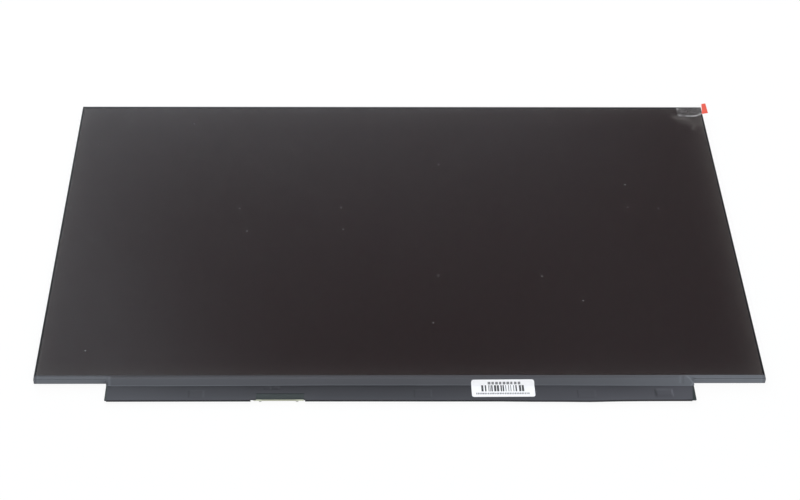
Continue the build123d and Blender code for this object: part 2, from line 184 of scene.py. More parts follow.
@dataclass(frozen=True)
class Finish:
    """An even surface with a soft mottle in its colour and gloss and a fine grain.

    The colour runs between a darker and a lighter shade along a noise of the mottle's size, the roughness
    follows the same noise, and a second noise of the grain's size gives the bump.
    """

    name: str
    colour: str
    roughness: float
    metallic: float = 0.0
    ior: float = 1.5
    mottle: float = 0.08
    mottle_mm: float = 9.0
    gloss_change: float = 0.05
    grain_mm: float = 0.5
    grain_depth_mm: float = 0.004

    def material(self) -> bpy.types.Material:
        """Makes the finish's material, or gives the one already made.

        Returns:
            The material.
        """
        made = bpy.data.materials.get(self.name)
        if made is None:
            made = bpy.data.materials.new(self.name)
            made.use_nodes = True
            tree = made.node_tree
            tree.nodes.clear()
            place = add(tree, "ShaderNodeTexCoord").outputs["Object"]
            add(tree, "ShaderNodeOutputMaterial", {"Surface": self.surface(tree, place)})
        return made

    def noise(self, tree: Tree, place: Socket, size_mm: float, detail: float = 3.0) -> Socket:
        """Adds a noise with cells of the given size and gives its value."""
        values = {"Vector": place, "Scale": per_metre(size_mm), "Detail": detail}
        return add(tree, "ShaderNodeTexNoise", values).outputs[0]

    def paint(self, tree: Tree, place: Socket) -> Socket:
        """Gives the surface's colour: two shades mixed by the mottle.

        Args:
            tree: The material's node tree.
            place: The Object coordinates.

        Returns:
            The colour.
        """
        mix = {"Fac": self.noise(tree, place, self.mottle_mm)}
        mix |= {"Color1": shade(self.colour, 1 - self.mottle), "Color2": shade(self.colour, 1 + self.mottle)}
        return add(tree, "ShaderNodeMixRGB", mix).outputs[0]

    def drift(self, tree: Tree, place: Socket) -> Socket:
        """Gives what the gloss follows: the mottle."""
        return self.noise(tree, place, self.mottle_mm)

    def gloss(self, tree: Tree, place: Socket) -> Socket:
        """Gives the surface's roughness, which drifts by the gloss change."""
        limits = {"To Min": self.roughness - self.gloss_change, "To Max": self.roughness + self.gloss_change}
        return add(tree, "ShaderNodeMapRange", {"Value": self.drift(tree, place), **limits}).outputs[0]

    def relief(self, tree: Tree, place: Socket) -> Socket:
        """Gives the height that the grain adds, from 0 to 1."""
        return self.noise(tree, place, self.grain_mm)

    def surface(self, tree: Tree, place: Socket) -> Socket:
        """Adds the shader with the colour, gloss and grain.

        Args:
            tree: The material's node tree.
            place: The Object coordinates.

        Returns:
            The shader's output.
        """
        height = {"Height": self.relief(tree, place), "Distance": self.grain_depth_mm * MM}
        grain = add(tree, "ShaderNodeBump", height).outputs[0]
        values = {"Metallic": self.metallic, "IOR": self.ior, "Normal": grain}
        values |= {"Base Color": self.paint(tree, place), "Roughness": self.gloss(tree, place)}
        return add(tree, "ShaderNodeBsdfPrincipled", values).outputs[0]


@dataclass(frozen=True)
class ClearSheet(Finish):
    """A clear sheet that mostly lets through what is below it.

    Its alpha runs from the contact veil to the lifted veil along the piece's own veil attribute.
    """

    contact_veil: float = 0.05
    lifted_veil: float = 0.4

    def surface(self, tree: Tree, place: Socket) -> Socket:
        """Adds the shader, with its alpha from the veil.

        Args:
            tree: The material's node tree.
            place: The Object coordinates.

        Returns:
            The shader's output.
        """
        made = super().surface(tree, place)
        veil = add(tree, "ShaderNodeAttribute", attribute_name=VEIL).outputs["Fac"]
        limits = {"To Min": self.contact_veil, "To Max": self.lifted_veil}
        cover = add(tree, "ShaderNodeMapRange", {"Value": veil, **limits}).outputs[0]
        tree.links.new(cover, made.node.inputs["Alpha"])
        return made


@dataclass(frozen=True)
class DustyCoat(Finish):
    """An even coat with a few specks of dust caught on it, one in some cells of a Voronoi pattern."""

    dust_colour: str = "#6E6C6C"
    dust_cell_mm: float = 17.0
    dust_mm: float = 0.38
    dust_share: float = 0.19

    def paint(self, tree: Tree, place: Socket) -> Socket:
        """Gives the coat's colour, and the dust's near the points of a share of the cells.

        Args:
            tree: The material's node tree.
            place: The Object coordinates.

        Returns:
            The colour.
        """
        wide = {"Vector": place, "Scale": per_metre(self.dust_cell_mm)}
        cells = add(tree, "ShaderNodeTexVoronoi", wide, voronoi_dimensions="2D")
        tests = {"Distance": self.dust_mm / self.dust_cell_mm, "Color": self.dust_share}
        close, chosen = (
            add(tree, "ShaderNodeMath", {0: cells.outputs[name], 1: limit}, operation="LESS_THAN").outputs[0]
            for name, limit in tests.items()
        )
        specks = add(tree, "ShaderNodeMath", {0: close, 1: chosen}, operation="MULTIPLY").outputs[0]
        mix = {"Fac": specks, "Color1": super().paint(tree, place), "Color2": linear(self.dust_colour)}
        return add(tree, "ShaderNodeMixRGB", mix).outputs[0]


@dataclass(frozen=True)
class PaintedLightTape(Finish):
    """A tape with painted light and shade: its colour runs to a paler one along its painted light attribute.
    """

    painted_light_colour: str = "#505359"

    def paint(self, tree: Tree, place: Socket) -> Socket:
        """Gives the tape's colour, mixed towards the paler one where light is painted.

        Args:
            tree: The material's node tree.
            place: The Object coordinates.

        Returns:
            The colour.
        """
        painted_light = add(tree, "ShaderNodeAttribute", attribute_name=PAINTED_LIGHT).outputs["Fac"]
        mix = {"Fac": painted_light, "Color1": super().paint(tree, place), "Color2": linear(self.painted_light_colour)}
        return add(tree, "ShaderNodeMixRGB", mix).outputs[0]


@dataclass(frozen=True)
class RolledSheet(Finish):
    """Sheet metal with the fine lines that the mill's rolls leave along X.

    The grain is a noise that is stretched along X by the streak length, and the gloss follows it.
    """

    streak_mm: float = 60.0

    def relief(self, tree: Tree, place: Socket) -> Socket:
        """Gives the height of the rolling lines, from 0 to 1.

        Args:
            tree: The material's node tree.
            place: The Object coordinates.

        Returns:
            The height.
        """
        stretch = (self.grain_mm / self.streak_mm, 1.0, 1.0)
        drawn = add(tree, "ShaderNodeMapping", {"Vector": place, "Scale": stretch}).outputs[0]
        return self.noise(tree, drawn, self.grain_mm)

    def drift(self, tree: Tree, place: Socket) -> Socket:
        """Gives what the gloss follows: the rolling lines."""
        return self.relief(tree, place)


@dataclass(frozen=True)
class WovenTape(Finish):
    """Metal-coated cloth: warp and weft threads as two crossed waves, of which the higher one shows."""

    thread_mm: float = 0.6

    def relief(self, tree: Tree, place: Socket) -> Socket:
        """Gives the height of the weave, from 0 to 1.

        Args:
            tree: The material's node tree.
            place: The Object coordinates.

        Returns:
            The height.
        """
        values = {"Vector": place, "Scale": waves_per_metre(self.thread_mm)}
        warp, weft = (
            add(tree, "ShaderNodeTexWave", values, bands_direction=axis).outputs["Fac"] for axis in ("X", "Y")
        )
        return add(tree, "ShaderNodeMath", {0: warp, 1: weft}, operation="MAXIMUM").outputs[0]


@dataclass(frozen=True)
class TracedBoard(Finish):
    """Solder mask over copper: bundles of tracks, as long thin bricks, lie between plain poured fields.

    A blocky noise picks where the tracks run, and the mask is lighter over copper than between it.
    """

    track_mm: float = 0.55
    gap_mm: float = 0.11
    run_mm: float = 26.0
    bundle_mm: float = 22.0
    bundle_limit: float = 0.5
    gap_colour: str = "#1C2424"

    def tracks(self, tree: Tree, place: Socket) -> Socket:
        """Gives the brick pattern of the tracks: 1 in the gap between two of them.

        Args:
            tree: The material's node tree.
            place: The Object coordinates.

        Returns:
            The pattern, 0 or 1.
        """
        values = {"Vector": place, "Scale": per_metre(1.0), "Mortar Size": self.gap_mm}
        values |= {"Brick Width": self.run_mm, "Row Height": self.track_mm}
        return add(tree, "ShaderNodeTexBrick", values).outputs["Fac"]

    def paint(self, tree: Tree, place: Socket) -> Socket:
        """Gives the mask's colour, darker in the gaps between the tracks of a bundle.

        Args:
            tree: The material's node tree.
            place: The Object coordinates.

        Returns:
            The colour.
        """
        field = {0: self.noise(tree, place, self.bundle_mm, 0.0), 1: self.bundle_limit}
        bundle = add(tree, "ShaderNodeMath", field, operation="GREATER_THAN").outputs[0]
        gaps = {0: bundle, 1: self.tracks(tree, place)}
        gap = add(tree, "ShaderNodeMath", gaps, operation="MULTIPLY").outputs[0]
        mix = {"Fac": gap, "Color1": super().paint(tree, place), "Color2": linear(self.gap_colour)}
        return add(tree, "ShaderNodeMixRGB", mix).outputs[0]

    def relief(self, tree: Tree, place: Socket) -> Socket:
        """Gives the height of the copper under the mask."""
        values = {0: 1.0, 1: self.tracks(tree, place)}
        return add(tree, "ShaderNodeMath", values, operation="SUBTRACT").outputs[0]


@dataclass(frozen=True)
class RuledFilm(Finish):
    """Amber film with fine copper lines that run across it from one bond to the other, along Y."""

    line_mm: float = 0.5
    line_colour: str = "#B4743A"

    def paint(self, tree: Tree, place: Socket) -> Socket:
        """Gives amber between copper lines, which are a wave along X.

        Args:
            tree: The material's node tree.
            place: The Object coordinates.

        Returns:
            The colour.
        """
        values = {"Vector": place, "Scale": waves_per_metre(self.line_mm)}
        lines = add(tree, "ShaderNodeTexWave", values, bands_direction="X").outputs["Fac"]
        mix = {"Fac": lines, "Color1": super().paint(tree, place), "Color2": linear(self.line_colour)}
        return add(tree, "ShaderNodeMixRGB", mix).outputs[0]


# Polariser: acetate with a grey anti-glare coat, which blurs what it mirrors into an even, warm black.
POLARISER = DustyCoat(
    "anti_glare_acetate", "#150609", 0.23, ior=1.23, mottle=0.04, gloss_change=0.02, grain_mm=0.6,
    grain_depth_mm=0.002,
)
# Shipping film: thin clear polyester, all but unseen where it clings and a pale veil where it has lifted.
FILM = ClearSheet(
    "clear_polyester_film", "#8E8884", 0.22, ior=1.4, grain_mm=2.0, contact_veil=0.002, lifted_veil=0.30,
)
# Tab: clear polyester tape with an acrylic adhesive, which greys the screen below it, with painted highlights
# along its near cut edge and in a few spots.
TAB_TAPE = ClearSheet(
    "clear_polyester_tape", "#CDCACA", 0.2, mottle=0.2, mottle_mm=2.5, grain_mm=1.5, grain_depth_mm=0.02,
    contact_veil=0.028, lifted_veil=0.42,
)
# Grip: coral polyester film, glossy and saturated.
GRIP = Finish("coral_polyester_film", "#DC4A34", 0.32, mottle=0.12, mottle_mm=3.0)
# Border tape: black polyester with a dull print coat.
BLACK_TAPE = Finish("black_polyester_tape", "#121214", 0.5, ior=1.17, mottle=0.1, grain_mm=0.4)
# Cover tape: dark grey conductive polyester, satin, with painted light and shade: paler at its ends and on
# its slope, painted highlights and shade along its creases and edges.
COVER_TAPE = PaintedLightTape(
    "grey_conductive_tape", "#3C3B40", 0.45, ior=1.3, mottle=0.06, mottle_mm=14.0, painted_light_colour="#71757C",
)
# Board film: dark grey insulating polyester with a matt print coat, with painted light: paler towards its
# outer edge and ends, and a painted highlight and shade on each rise.
BOARD_FILM = PaintedLightTape(
    "grey_insulating_film", "#1F1F24", 0.48, ior=1.25, mottle=0.06, mottle_mm=12.0, painted_light_colour="#5E5E65",
)
# Lip: the same film on the board's outer edge, as a darker and duller copy: painted shade where it turns away
# from the light.
SHADED_LIP = Finish("shaded_folded_film", "#252528", 0.7, ior=1.28, mottle=0.1, grain_mm=0.4)
# Label: coated paper, white and dull, with black and grey thermal print.
PAPER = Finish("coated_label_paper", "#F1EFF2", 0.5, mottle=0.02, grain_mm=0.4, grain_depth_mm=0.006)
BLACK_PRINT = Finish("black_thermal_print", "#222226", 0.5, mottle=0.12, mottle_mm=0.8)
GREY_PRINT = Finish("grey_thermal_print", "#77777B", 0.5, mottle=0.25, mottle_mm=0.6)
# Back plate: rolled aluminium sheet, satin, with rolling lines along its length.
PLATE = RolledSheet(
    "rolled_aluminium", "#B9BCC0", 0.36, 1.0, mottle=0.06, mottle_mm=30.0, gloss_change=0.07, grain_mm=0.35,
)
# Ground tape: woven polyester with a nickel coat, drawn with coarser threads than it has so that they show.
GROUND_TAPE = WovenTape("nickel_coated_cloth", "#9B9C9E", 0.42, 0.9, mottle=0.1, grain_depth_mm=0.03)
# Board: glass epoxy with a dark green solder mask over copper tracks.
BOARD = TracedBoard("green_solder_mask", "#222A2A", 0.4, ior=1.3, grain_depth_mm=0.02)
# Driver film: amber polyimide with copper lines, drawn coarser than they are so that they show.
DRIVER_FILM = RuledFilm("amber_polyimide", "#8A5A22", 0.35)
# Small parts: epoxy, silicon, ferrite, fired ceramic, tinned ends and pads, each with its own sheen.
CHIP_RESIN = Finish(
    "black_epoxy_resin", "#202124", 0.62, mottle=0.15, mottle_mm=1.2, grain_mm=0.15, grain_depth_mm=0.008,
)
SILICON = Finish("polished_silicon", "#5A6068", 0.16, 1.0, mottle=0.05, grain_depth_mm=0.0005)
FERRITE = Finish(
    "pressed_ferrite", "#3A3A3C", 0.6, mottle=0.2, mottle_mm=0.8, grain_mm=0.2, grain_depth_mm=0.02,
)
CERAMIC = Finish("fired_ceramic", "#9A7350", 0.42, mottle=0.12, mottle_mm=0.6, grain_mm=0.1)
RESISTOR = Finish("black_resistor_glaze", "#17181B", 0.3, mottle=0.1, mottle_mm=0.4)
TIN = Finish(
    "reflowed_tin", "#C8C9C8", 0.28, 1.0, mottle=0.12, mottle_mm=0.5, grain_mm=0.3, grain_depth_mm=0.01,
)
GOLD = Finish("gold_flash", "#D9B25C", 0.24, 1.0, mottle_mm=1.0)
SHELL_METAL = RolledSheet(
    "tinned_connector_shell", "#C6C7C8", 0.3, 1.0, mottle=0.06, streak_mm=12.0, grain_mm=0.2,
)
IVORY = Finish("ivory_connector_nylon", "#C8C9B5", 0.46, mottle=0.04, mottle_mm=2.0, grain_mm=0.2)
# Inside: what the tapes close in, seen only at edges or when the panel is taken apart.
GLASS = Finish("dark_cell_glass", "#141417", 0.12, ior=1.52, mottle=0.05)
SEALANT = Finish("black_epoxy_seal", "#18181A", 0.5)
FRAME_PLASTIC = Finish("black_polycarbonate", "#1D1D20", 0.5, grain_mm=0.25, grain_depth_mm=0.012)
OPTICAL = Finish("pearl_optical_sheet", "#D8DADB", 0.3, mottle=0.04, grain_mm=0.2, grain_depth_mm=0.01)
ACRYLIC = Finish("polished_acrylic", "#DCE4E4", 0.12, ior=1.49, mottle=0.03)
REFLECTOR = Finish("white_reflector_sheet", "#F2F2F0", 0.55, mottle=0.03, grain_mm=0.3)
ADHESIVE = Finish("black_foam_tape", "#202022", 0.7, mottle=0.12, grain_mm=0.2, grain_depth_mm=0.02)
STRIP = Finish("white_circuit_mask", "#EDEDE8", 0.4, mottle=0.04)
LED = Finish("yellow_phosphor_resin", "#E8DC9A", 0.4, mottle=0.1, mottle_mm=1.0)

# The solids that keep their own shape, and what each is made of.
KEPT = {
    "back_plate": PLATE, "mould_frame": FRAME_PLASTIC, "reflector": REFLECTOR, "led_strip": STRIP,
    "leds": LED, "light_guide": ACRYLIC, "lower_diffuser": OPTICAL, "lower_prism_sheet": OPTICAL,
    "upper_prism_sheet": OPTICAL, "top_diffuser": OPTICAL, "rim_tape": ADHESIVE, "rear_polariser": POLARISER,
    "array_glass": GLASS, "cell_seal": SEALANT, "colour_filter_glass": GLASS, "front_polariser": POLARISER,
    "control_board": BOARD, "connector_housing": IVORY, "connector_shell": SHELL_METAL,
    "connector_contacts": GOLD, "backlight_socket": IVORY, "left_ground_tape": GROUND_TAPE,
    "right_ground_tape": GROUND_TAPE, "inductor_1": FERRITE, "inductor_2": FERRITE, "inductor_3": FERRITE,
} | {f"driver_film_{number}": DRIVER_FILM for number in range(1, 5)} | {
    f"driver_chip_{number}": SILICON for number in range(1, 5)
}


# Meshes


def make_piece(
    name: str, points: np.ndarray, faces: np.ndarray, finishes: list[Finish],
    dress: np.ndarray | None = None, crease: float = 35.0, marks: dict[str, np.ndarray] | None = None,
) -> bpy.types.Object:
    """Puts points and faces into a mesh object with its finishes.

    Args:
        name: The piece's name.
        points: Points in millimetres, one row each.
        faces: Four point numbers for each face.
        finishes: The finishes that its faces use.
        dress: The number of each face's finish, or none where all faces have the first.
        crease: The angle in degrees above which an edge shows sharp.
        marks: For each attribute that a finish reads, its value at each point.

    Returns:
        The object, linked to the scene.
    """
    used, numbers = np.unique(faces, return_inverse=True)
    mesh = bpy.data.meshes.new(name)
    mesh.from_pydata((points[used] * MM).tolist(), [], numbers.reshape(faces.shape).tolist())
    for finish in finishes:
        mesh.materials.append(finish.material())
    if dress is not None:
        mesh.polygons.foreach_set("material_index", dress.astype(np.int32))
    mesh.polygons.foreach_set("use_smooth", np.ones(len(faces), bool))
    mesh.set_sharp_from_angle(angle=math.radians(crease))
    for mark, values in (marks or {}).items():
        mesh.attributes.new(mark, "FLOAT", "POINT").data.foreach_set("value", values[used].astype(np.float32))
    mesh.update()
    piece = bpy.data.objects.new(name, mesh)
    bpy.context.scene.collection.objects.link(piece)
    return piece


def carry(piece: bpy.types.Object, slot: str, *nodes: str) -> None:
    """Fixes a finished piece to the panel, and hides the nodes that it stands for.

    Args:
        piece: The piece.
        slot: The record's material slot. It is not used.
        *nodes: The nodes that the piece replaces, if any.
    """
    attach(piece, BODY)
    if nodes:
        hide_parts(*nodes)
    LOG.info("%s: %d faces", piece.name, len(piece.data.polygons))


def normals(grid: np.ndarray) -> np.ndarray:
    """Gives the unit normal at each point of a grid: the cross product of its two slopes."""
    across = np.cross(np.gradient(grid, axis=0), np.gradient(grid, axis=1))
    return across / np.linalg.norm(across, axis=2, keepdims=True)


def shell_faces(rows: int, columns: int, keep: np.ndarray) -> tuple[np.ndarray, int]:
    """Works out the faces of a closed sheet: an outer grid, an inner grid and the walls between them.

    A wall stands on each grid line that has a kept cell on one side only.

    Args:
        rows: Points along the grid's first way.
        columns: Points along its second way.
        keep: For each cell, whether it has a face.

    Returns:
        Four point numbers for each face, the outer faces first, and how many outer faces there are.
    """
    outer = np.arange(rows * columns).reshape(rows, columns)
    cells = np.stack([outer[:-1, :-1], outer[1:, :-1], outer[1:, 1:], outer[:-1, 1:]], axis=2)[keep]
    padded = np.pad(keep, 1)
    walls = []
    for start, end, near, far in (
        (outer[:, :-1], outer[:, 1:], padded[:-1, 1:-1], padded[1:, 1:-1]),
        (outer[1:, :], outer[:-1, :], padded[1:-1, :-1], padded[1:-1, 1:]),
    ):
        for first, last, edge in ((start, end, far & ~near), (end, start, near & ~far)):
            run = np.stack([first[edge], last[edge]], axis=1)
            walls.append(np.concatenate([run, run[:, ::-1] + rows * columns], axis=1))
    faces = np.concatenate([cells, cells[:, ::-1] + rows * columns, *walls])
    return faces, len(cells)


def make_sheet(
    name: str, inner: np.ndarray, thickness: float, finishes: list[Finish], keep: np.ndarray | None = None,
    print_of: np.ndarray | None = None, marks: dict[str, np.ndarray] | None = None,
) -> bpy.types.Object:
    """Makes a closed sheet of even thickness on a grid of points.

    The outer face is the inner grid moved along its normals by the thickness.

    Args:
        name: The piece's name.
        inner: The inner face as a grid of points, in millimetres, with its normals outwards.
        thickness: The sheet's thickness in millimetres.
        finishes: The finishes that its faces use, the plain one first.
        keep: For each cell, whether it has a face, or none where all have.
        print_of: For each cell, the number of its outer face's finish.
        marks: For each attribute that a finish reads, its value at each point of the grid.

    Returns:
        The object.
    """
    rows, columns = inner.shape[:2]
    keep = np.ones((rows - 1, columns - 1), bool) if keep is None else keep
    outer = inner + thickness * normals(inner)
    points = np.concatenate([outer.reshape(-1, 3), inner.reshape(-1, 3)])
    faces, count = shell_faces(rows, columns, keep)
    dress = np.zeros(len(faces), np.int32)
    if print_of is not None:
        dress[:count] = print_of[keep]
    both = {mark: np.tile(values.ravel(), 2) for mark, values in (marks or {}).items()}
    return make_piece(name, points, faces, finishes, dress, marks=both)


def rounded(corners: np.ndarray, radii: np.ndarray, steps: int = 6) -> np.ndarray:
    """Rounds the corners of an open path with circular arcs.

    Each arc touches both runs at its radius times the tangent of half the turn. It is a rational quadratic
    curve between those two points, with the cosine of half the turn as the corner's weight.

    Args:
        corners: The path's points, in millimetres.
        radii: A radius for each corner between the two ends.
        steps: Points on each arc.

    Returns:
        The rounded path.
    """
    runs = np.diff(corners, axis=0)
    ways = runs / np.linalg.norm(runs, axis=1, keepdims=True)
    half_turn = np.arccos(np.clip((ways[:-1] * ways[1:]).sum(axis=1), -1, 1)) / 2
    reach = (np.asarray(radii) * np.tan(half_turn))[:, None]
    peak = corners[1:-1]
    start, end = peak - ways[:-1] * reach, peak + ways[1:] * reach
    share = np.linspace(0, 1, steps)[None, :, None]
    weight = np.cos(half_turn)[:, None, None]
    blend = [(1 - share) ** 2, 2 * share * (1 - share) * weight, share ** 2]
    arcs = blend[0] * start[:, None] + blend[1] * peak[:, None] + blend[2] * end[:, None]
    arcs = arcs / (blend[0] + blend[1] + blend[2])
    return np.concatenate([corners[:1], arcs.reshape(-1, corners.shape[1]), corners[-1:]])


def spaced(path: np.ndarray, count: int) -> np.ndarray:
    """Spreads a number of points evenly along a path.

    Args:
        path: The path's points.
        count: How many points to give.

    Returns:
        Points at even lengths along the path.
    """
    length = np.concatenate([[0], np.cumsum(np.linalg.norm(np.diff(path, axis=0), axis=1))])
    places = np.linspace(0, length[-1], count)
    return np.stack([np.interp(places, length, path[:, axis]) for axis in range(path.shape[1])], axis=1)


def between(x: np.ndarray, knots: Knots, column: int = 1) -> np.ndarray:
    """Reads a table at places x: straight lines between its rows, which start with their place."""
    table = np.array(knots)
    return np.interp(x, table[:, 0], table[:, column])


def ease(value: np.ndarray) -> np.ndarray:
    """Runs smoothly from 0 to 1 while the value goes from 0 to 1."""
    held = np.clip(value, 0, 1)
    return held * held * (3 - 2 * held)


def bump(value: np.ndarray, width: float) -> np.ndarray:
    """Gives a bell curve of height 1 and the given width about 0."""
    return np.exp(-(value / width) ** 2)


# The corners of an eight-sided outline: the sign of each, and on which axis its chamfer lies.
OUTLINE_SIGNS = np.array([[1, -1], [1, 1], [1, 1], [-1, 1], [-1, 1], [-1, -1], [-1, -1], [1, -1]])
OUTLINE_CUTS = np.array([[0, 1], [0, 1], [1, 0], [1, 0], [0, 1], [0, 1], [1, 0], [1, 0]])
OUTLINE_ENDS = np.array([[0, 1, 2, 3], [0, 3, 4, 7], [4, 5, 6, 7]])
OUTLINE_LEVELS = 4
OUTLINE_POINTS = len(OUTLINE_SIGNS)


def block_faces() -> np.ndarray:
    """Works out the faces of one chamfered block: three bands of eight sides, and three faces on each end.

    Returns:
        Four point numbers for each face.
    """
    bands, count = OUTLINE_LEVELS - 1, OUTLINE_POINTS
    level, place = np.meshgrid(np.arange(bands) * count, np.arange(count), indexing="ij")
    after = (place + 1) % count
    sides = np.stack([level + place, level + after, level + count + after, level + count + place], axis=2)
    return np.concatenate([sides.reshape(-1, 4), OUTLINE_ENDS[:, ::-1], OUTLINE_ENDS + bands * count])


def make_blocks(
    name: str, centres: np.ndarray, sizes: np.ndarray, chamfer: float, finishes: list[Finish],
    dress: np.ndarray | None = None,
) -> bpy.types.Object:
    """Makes a group of blocks with chamfered edges.

    Each block is an eight-sided outline at four heights, drawn in by the chamfer at its two ends.

    Args:
        name: The piece's name.
        centres: The centre of each block, in millimetres.
        sizes: The size of each block.
        chamfer: The chamfer, in millimetres.
        finishes: The finishes that the blocks use.
        dress: The number of each block's finish.

    Returns:
        The object.
    """
    half = (np.broadcast_to(sizes, centres.shape) / 2)[:, None, None, :]
    inset = np.array([chamfer, 0, 0, chamfer])[None, :, None]
    height = np.array([-1, -1, 1, 1])[None, :, None] * (half[..., 2] - (chamfer - inset))
    cuts = OUTLINE_CUTS * chamfer
    flat = [OUTLINE_SIGNS[:, axis] * (half[..., axis] - inset - cuts[:, axis]) for axis in (0, 1)]
    points = np.stack([*flat, np.broadcast_to(height, flat[0].shape)], axis=3) + centres[:, None, None, :]
    one = block_faces()
    faces = (np.arange(len(centres)) * OUTLINE_LEVELS * OUTLINE_POINTS)[:, None, None] + one
    dress = None if dress is None else np.repeat(dress, len(one))
    return make_piece(name, points.reshape(-1, 3), faces.reshape(-1, 4), finishes, dress, crease=20.0)


def make_discs(
    name: str, centres: np.ndarray, radius: float, height: float, finish: Finish, sides: int = 12,
    rim: float = 0.9,
) -> bpy.types.Object:
    """Makes a group of flat discs that face down.

    Each disc is a ring of points at two heights, with its lower face drawn in a little, closed by strips.

    Args:
        name: The piece's name.
        centres: The middle of each disc's upper face, in millimetres.
        radius: The discs' radius.
        height: The discs' thickness.
        finish: Their finish.
        sides: Points on a ring.
        rim: The lower face's share of the radius.

    Returns:
        The object.
    """
    turn = np.arange(sides) / sides * math.tau
    ring = np.stack([np.cos(turn), np.sin(turn), np.zeros(sides)], axis=1) * radius
    points = centres[:, None, None, :] + np.stack([ring, ring * rim - [0, 0, height]])
    place = np.arange(sides)
    after = (place + 1) % sides
    walls = np.stack([place, place + sides, after + sides, after], axis=1)
    strip = np.arange(sides // 2 - 1)
    cap = np.stack([strip, strip + 1, sides - 2 - strip, sides - 1 - strip], axis=1)
    one = np.concatenate([walls, cap, cap[:, ::-1] + sides])
    faces = (np.arange(len(centres)) * 2 * sides)[:, None, None] + one
    return make_piece(name, points.reshape(-1, 3), faces.reshape(-1, 4), [finish], crease=30.0)


# Sub-assemblies


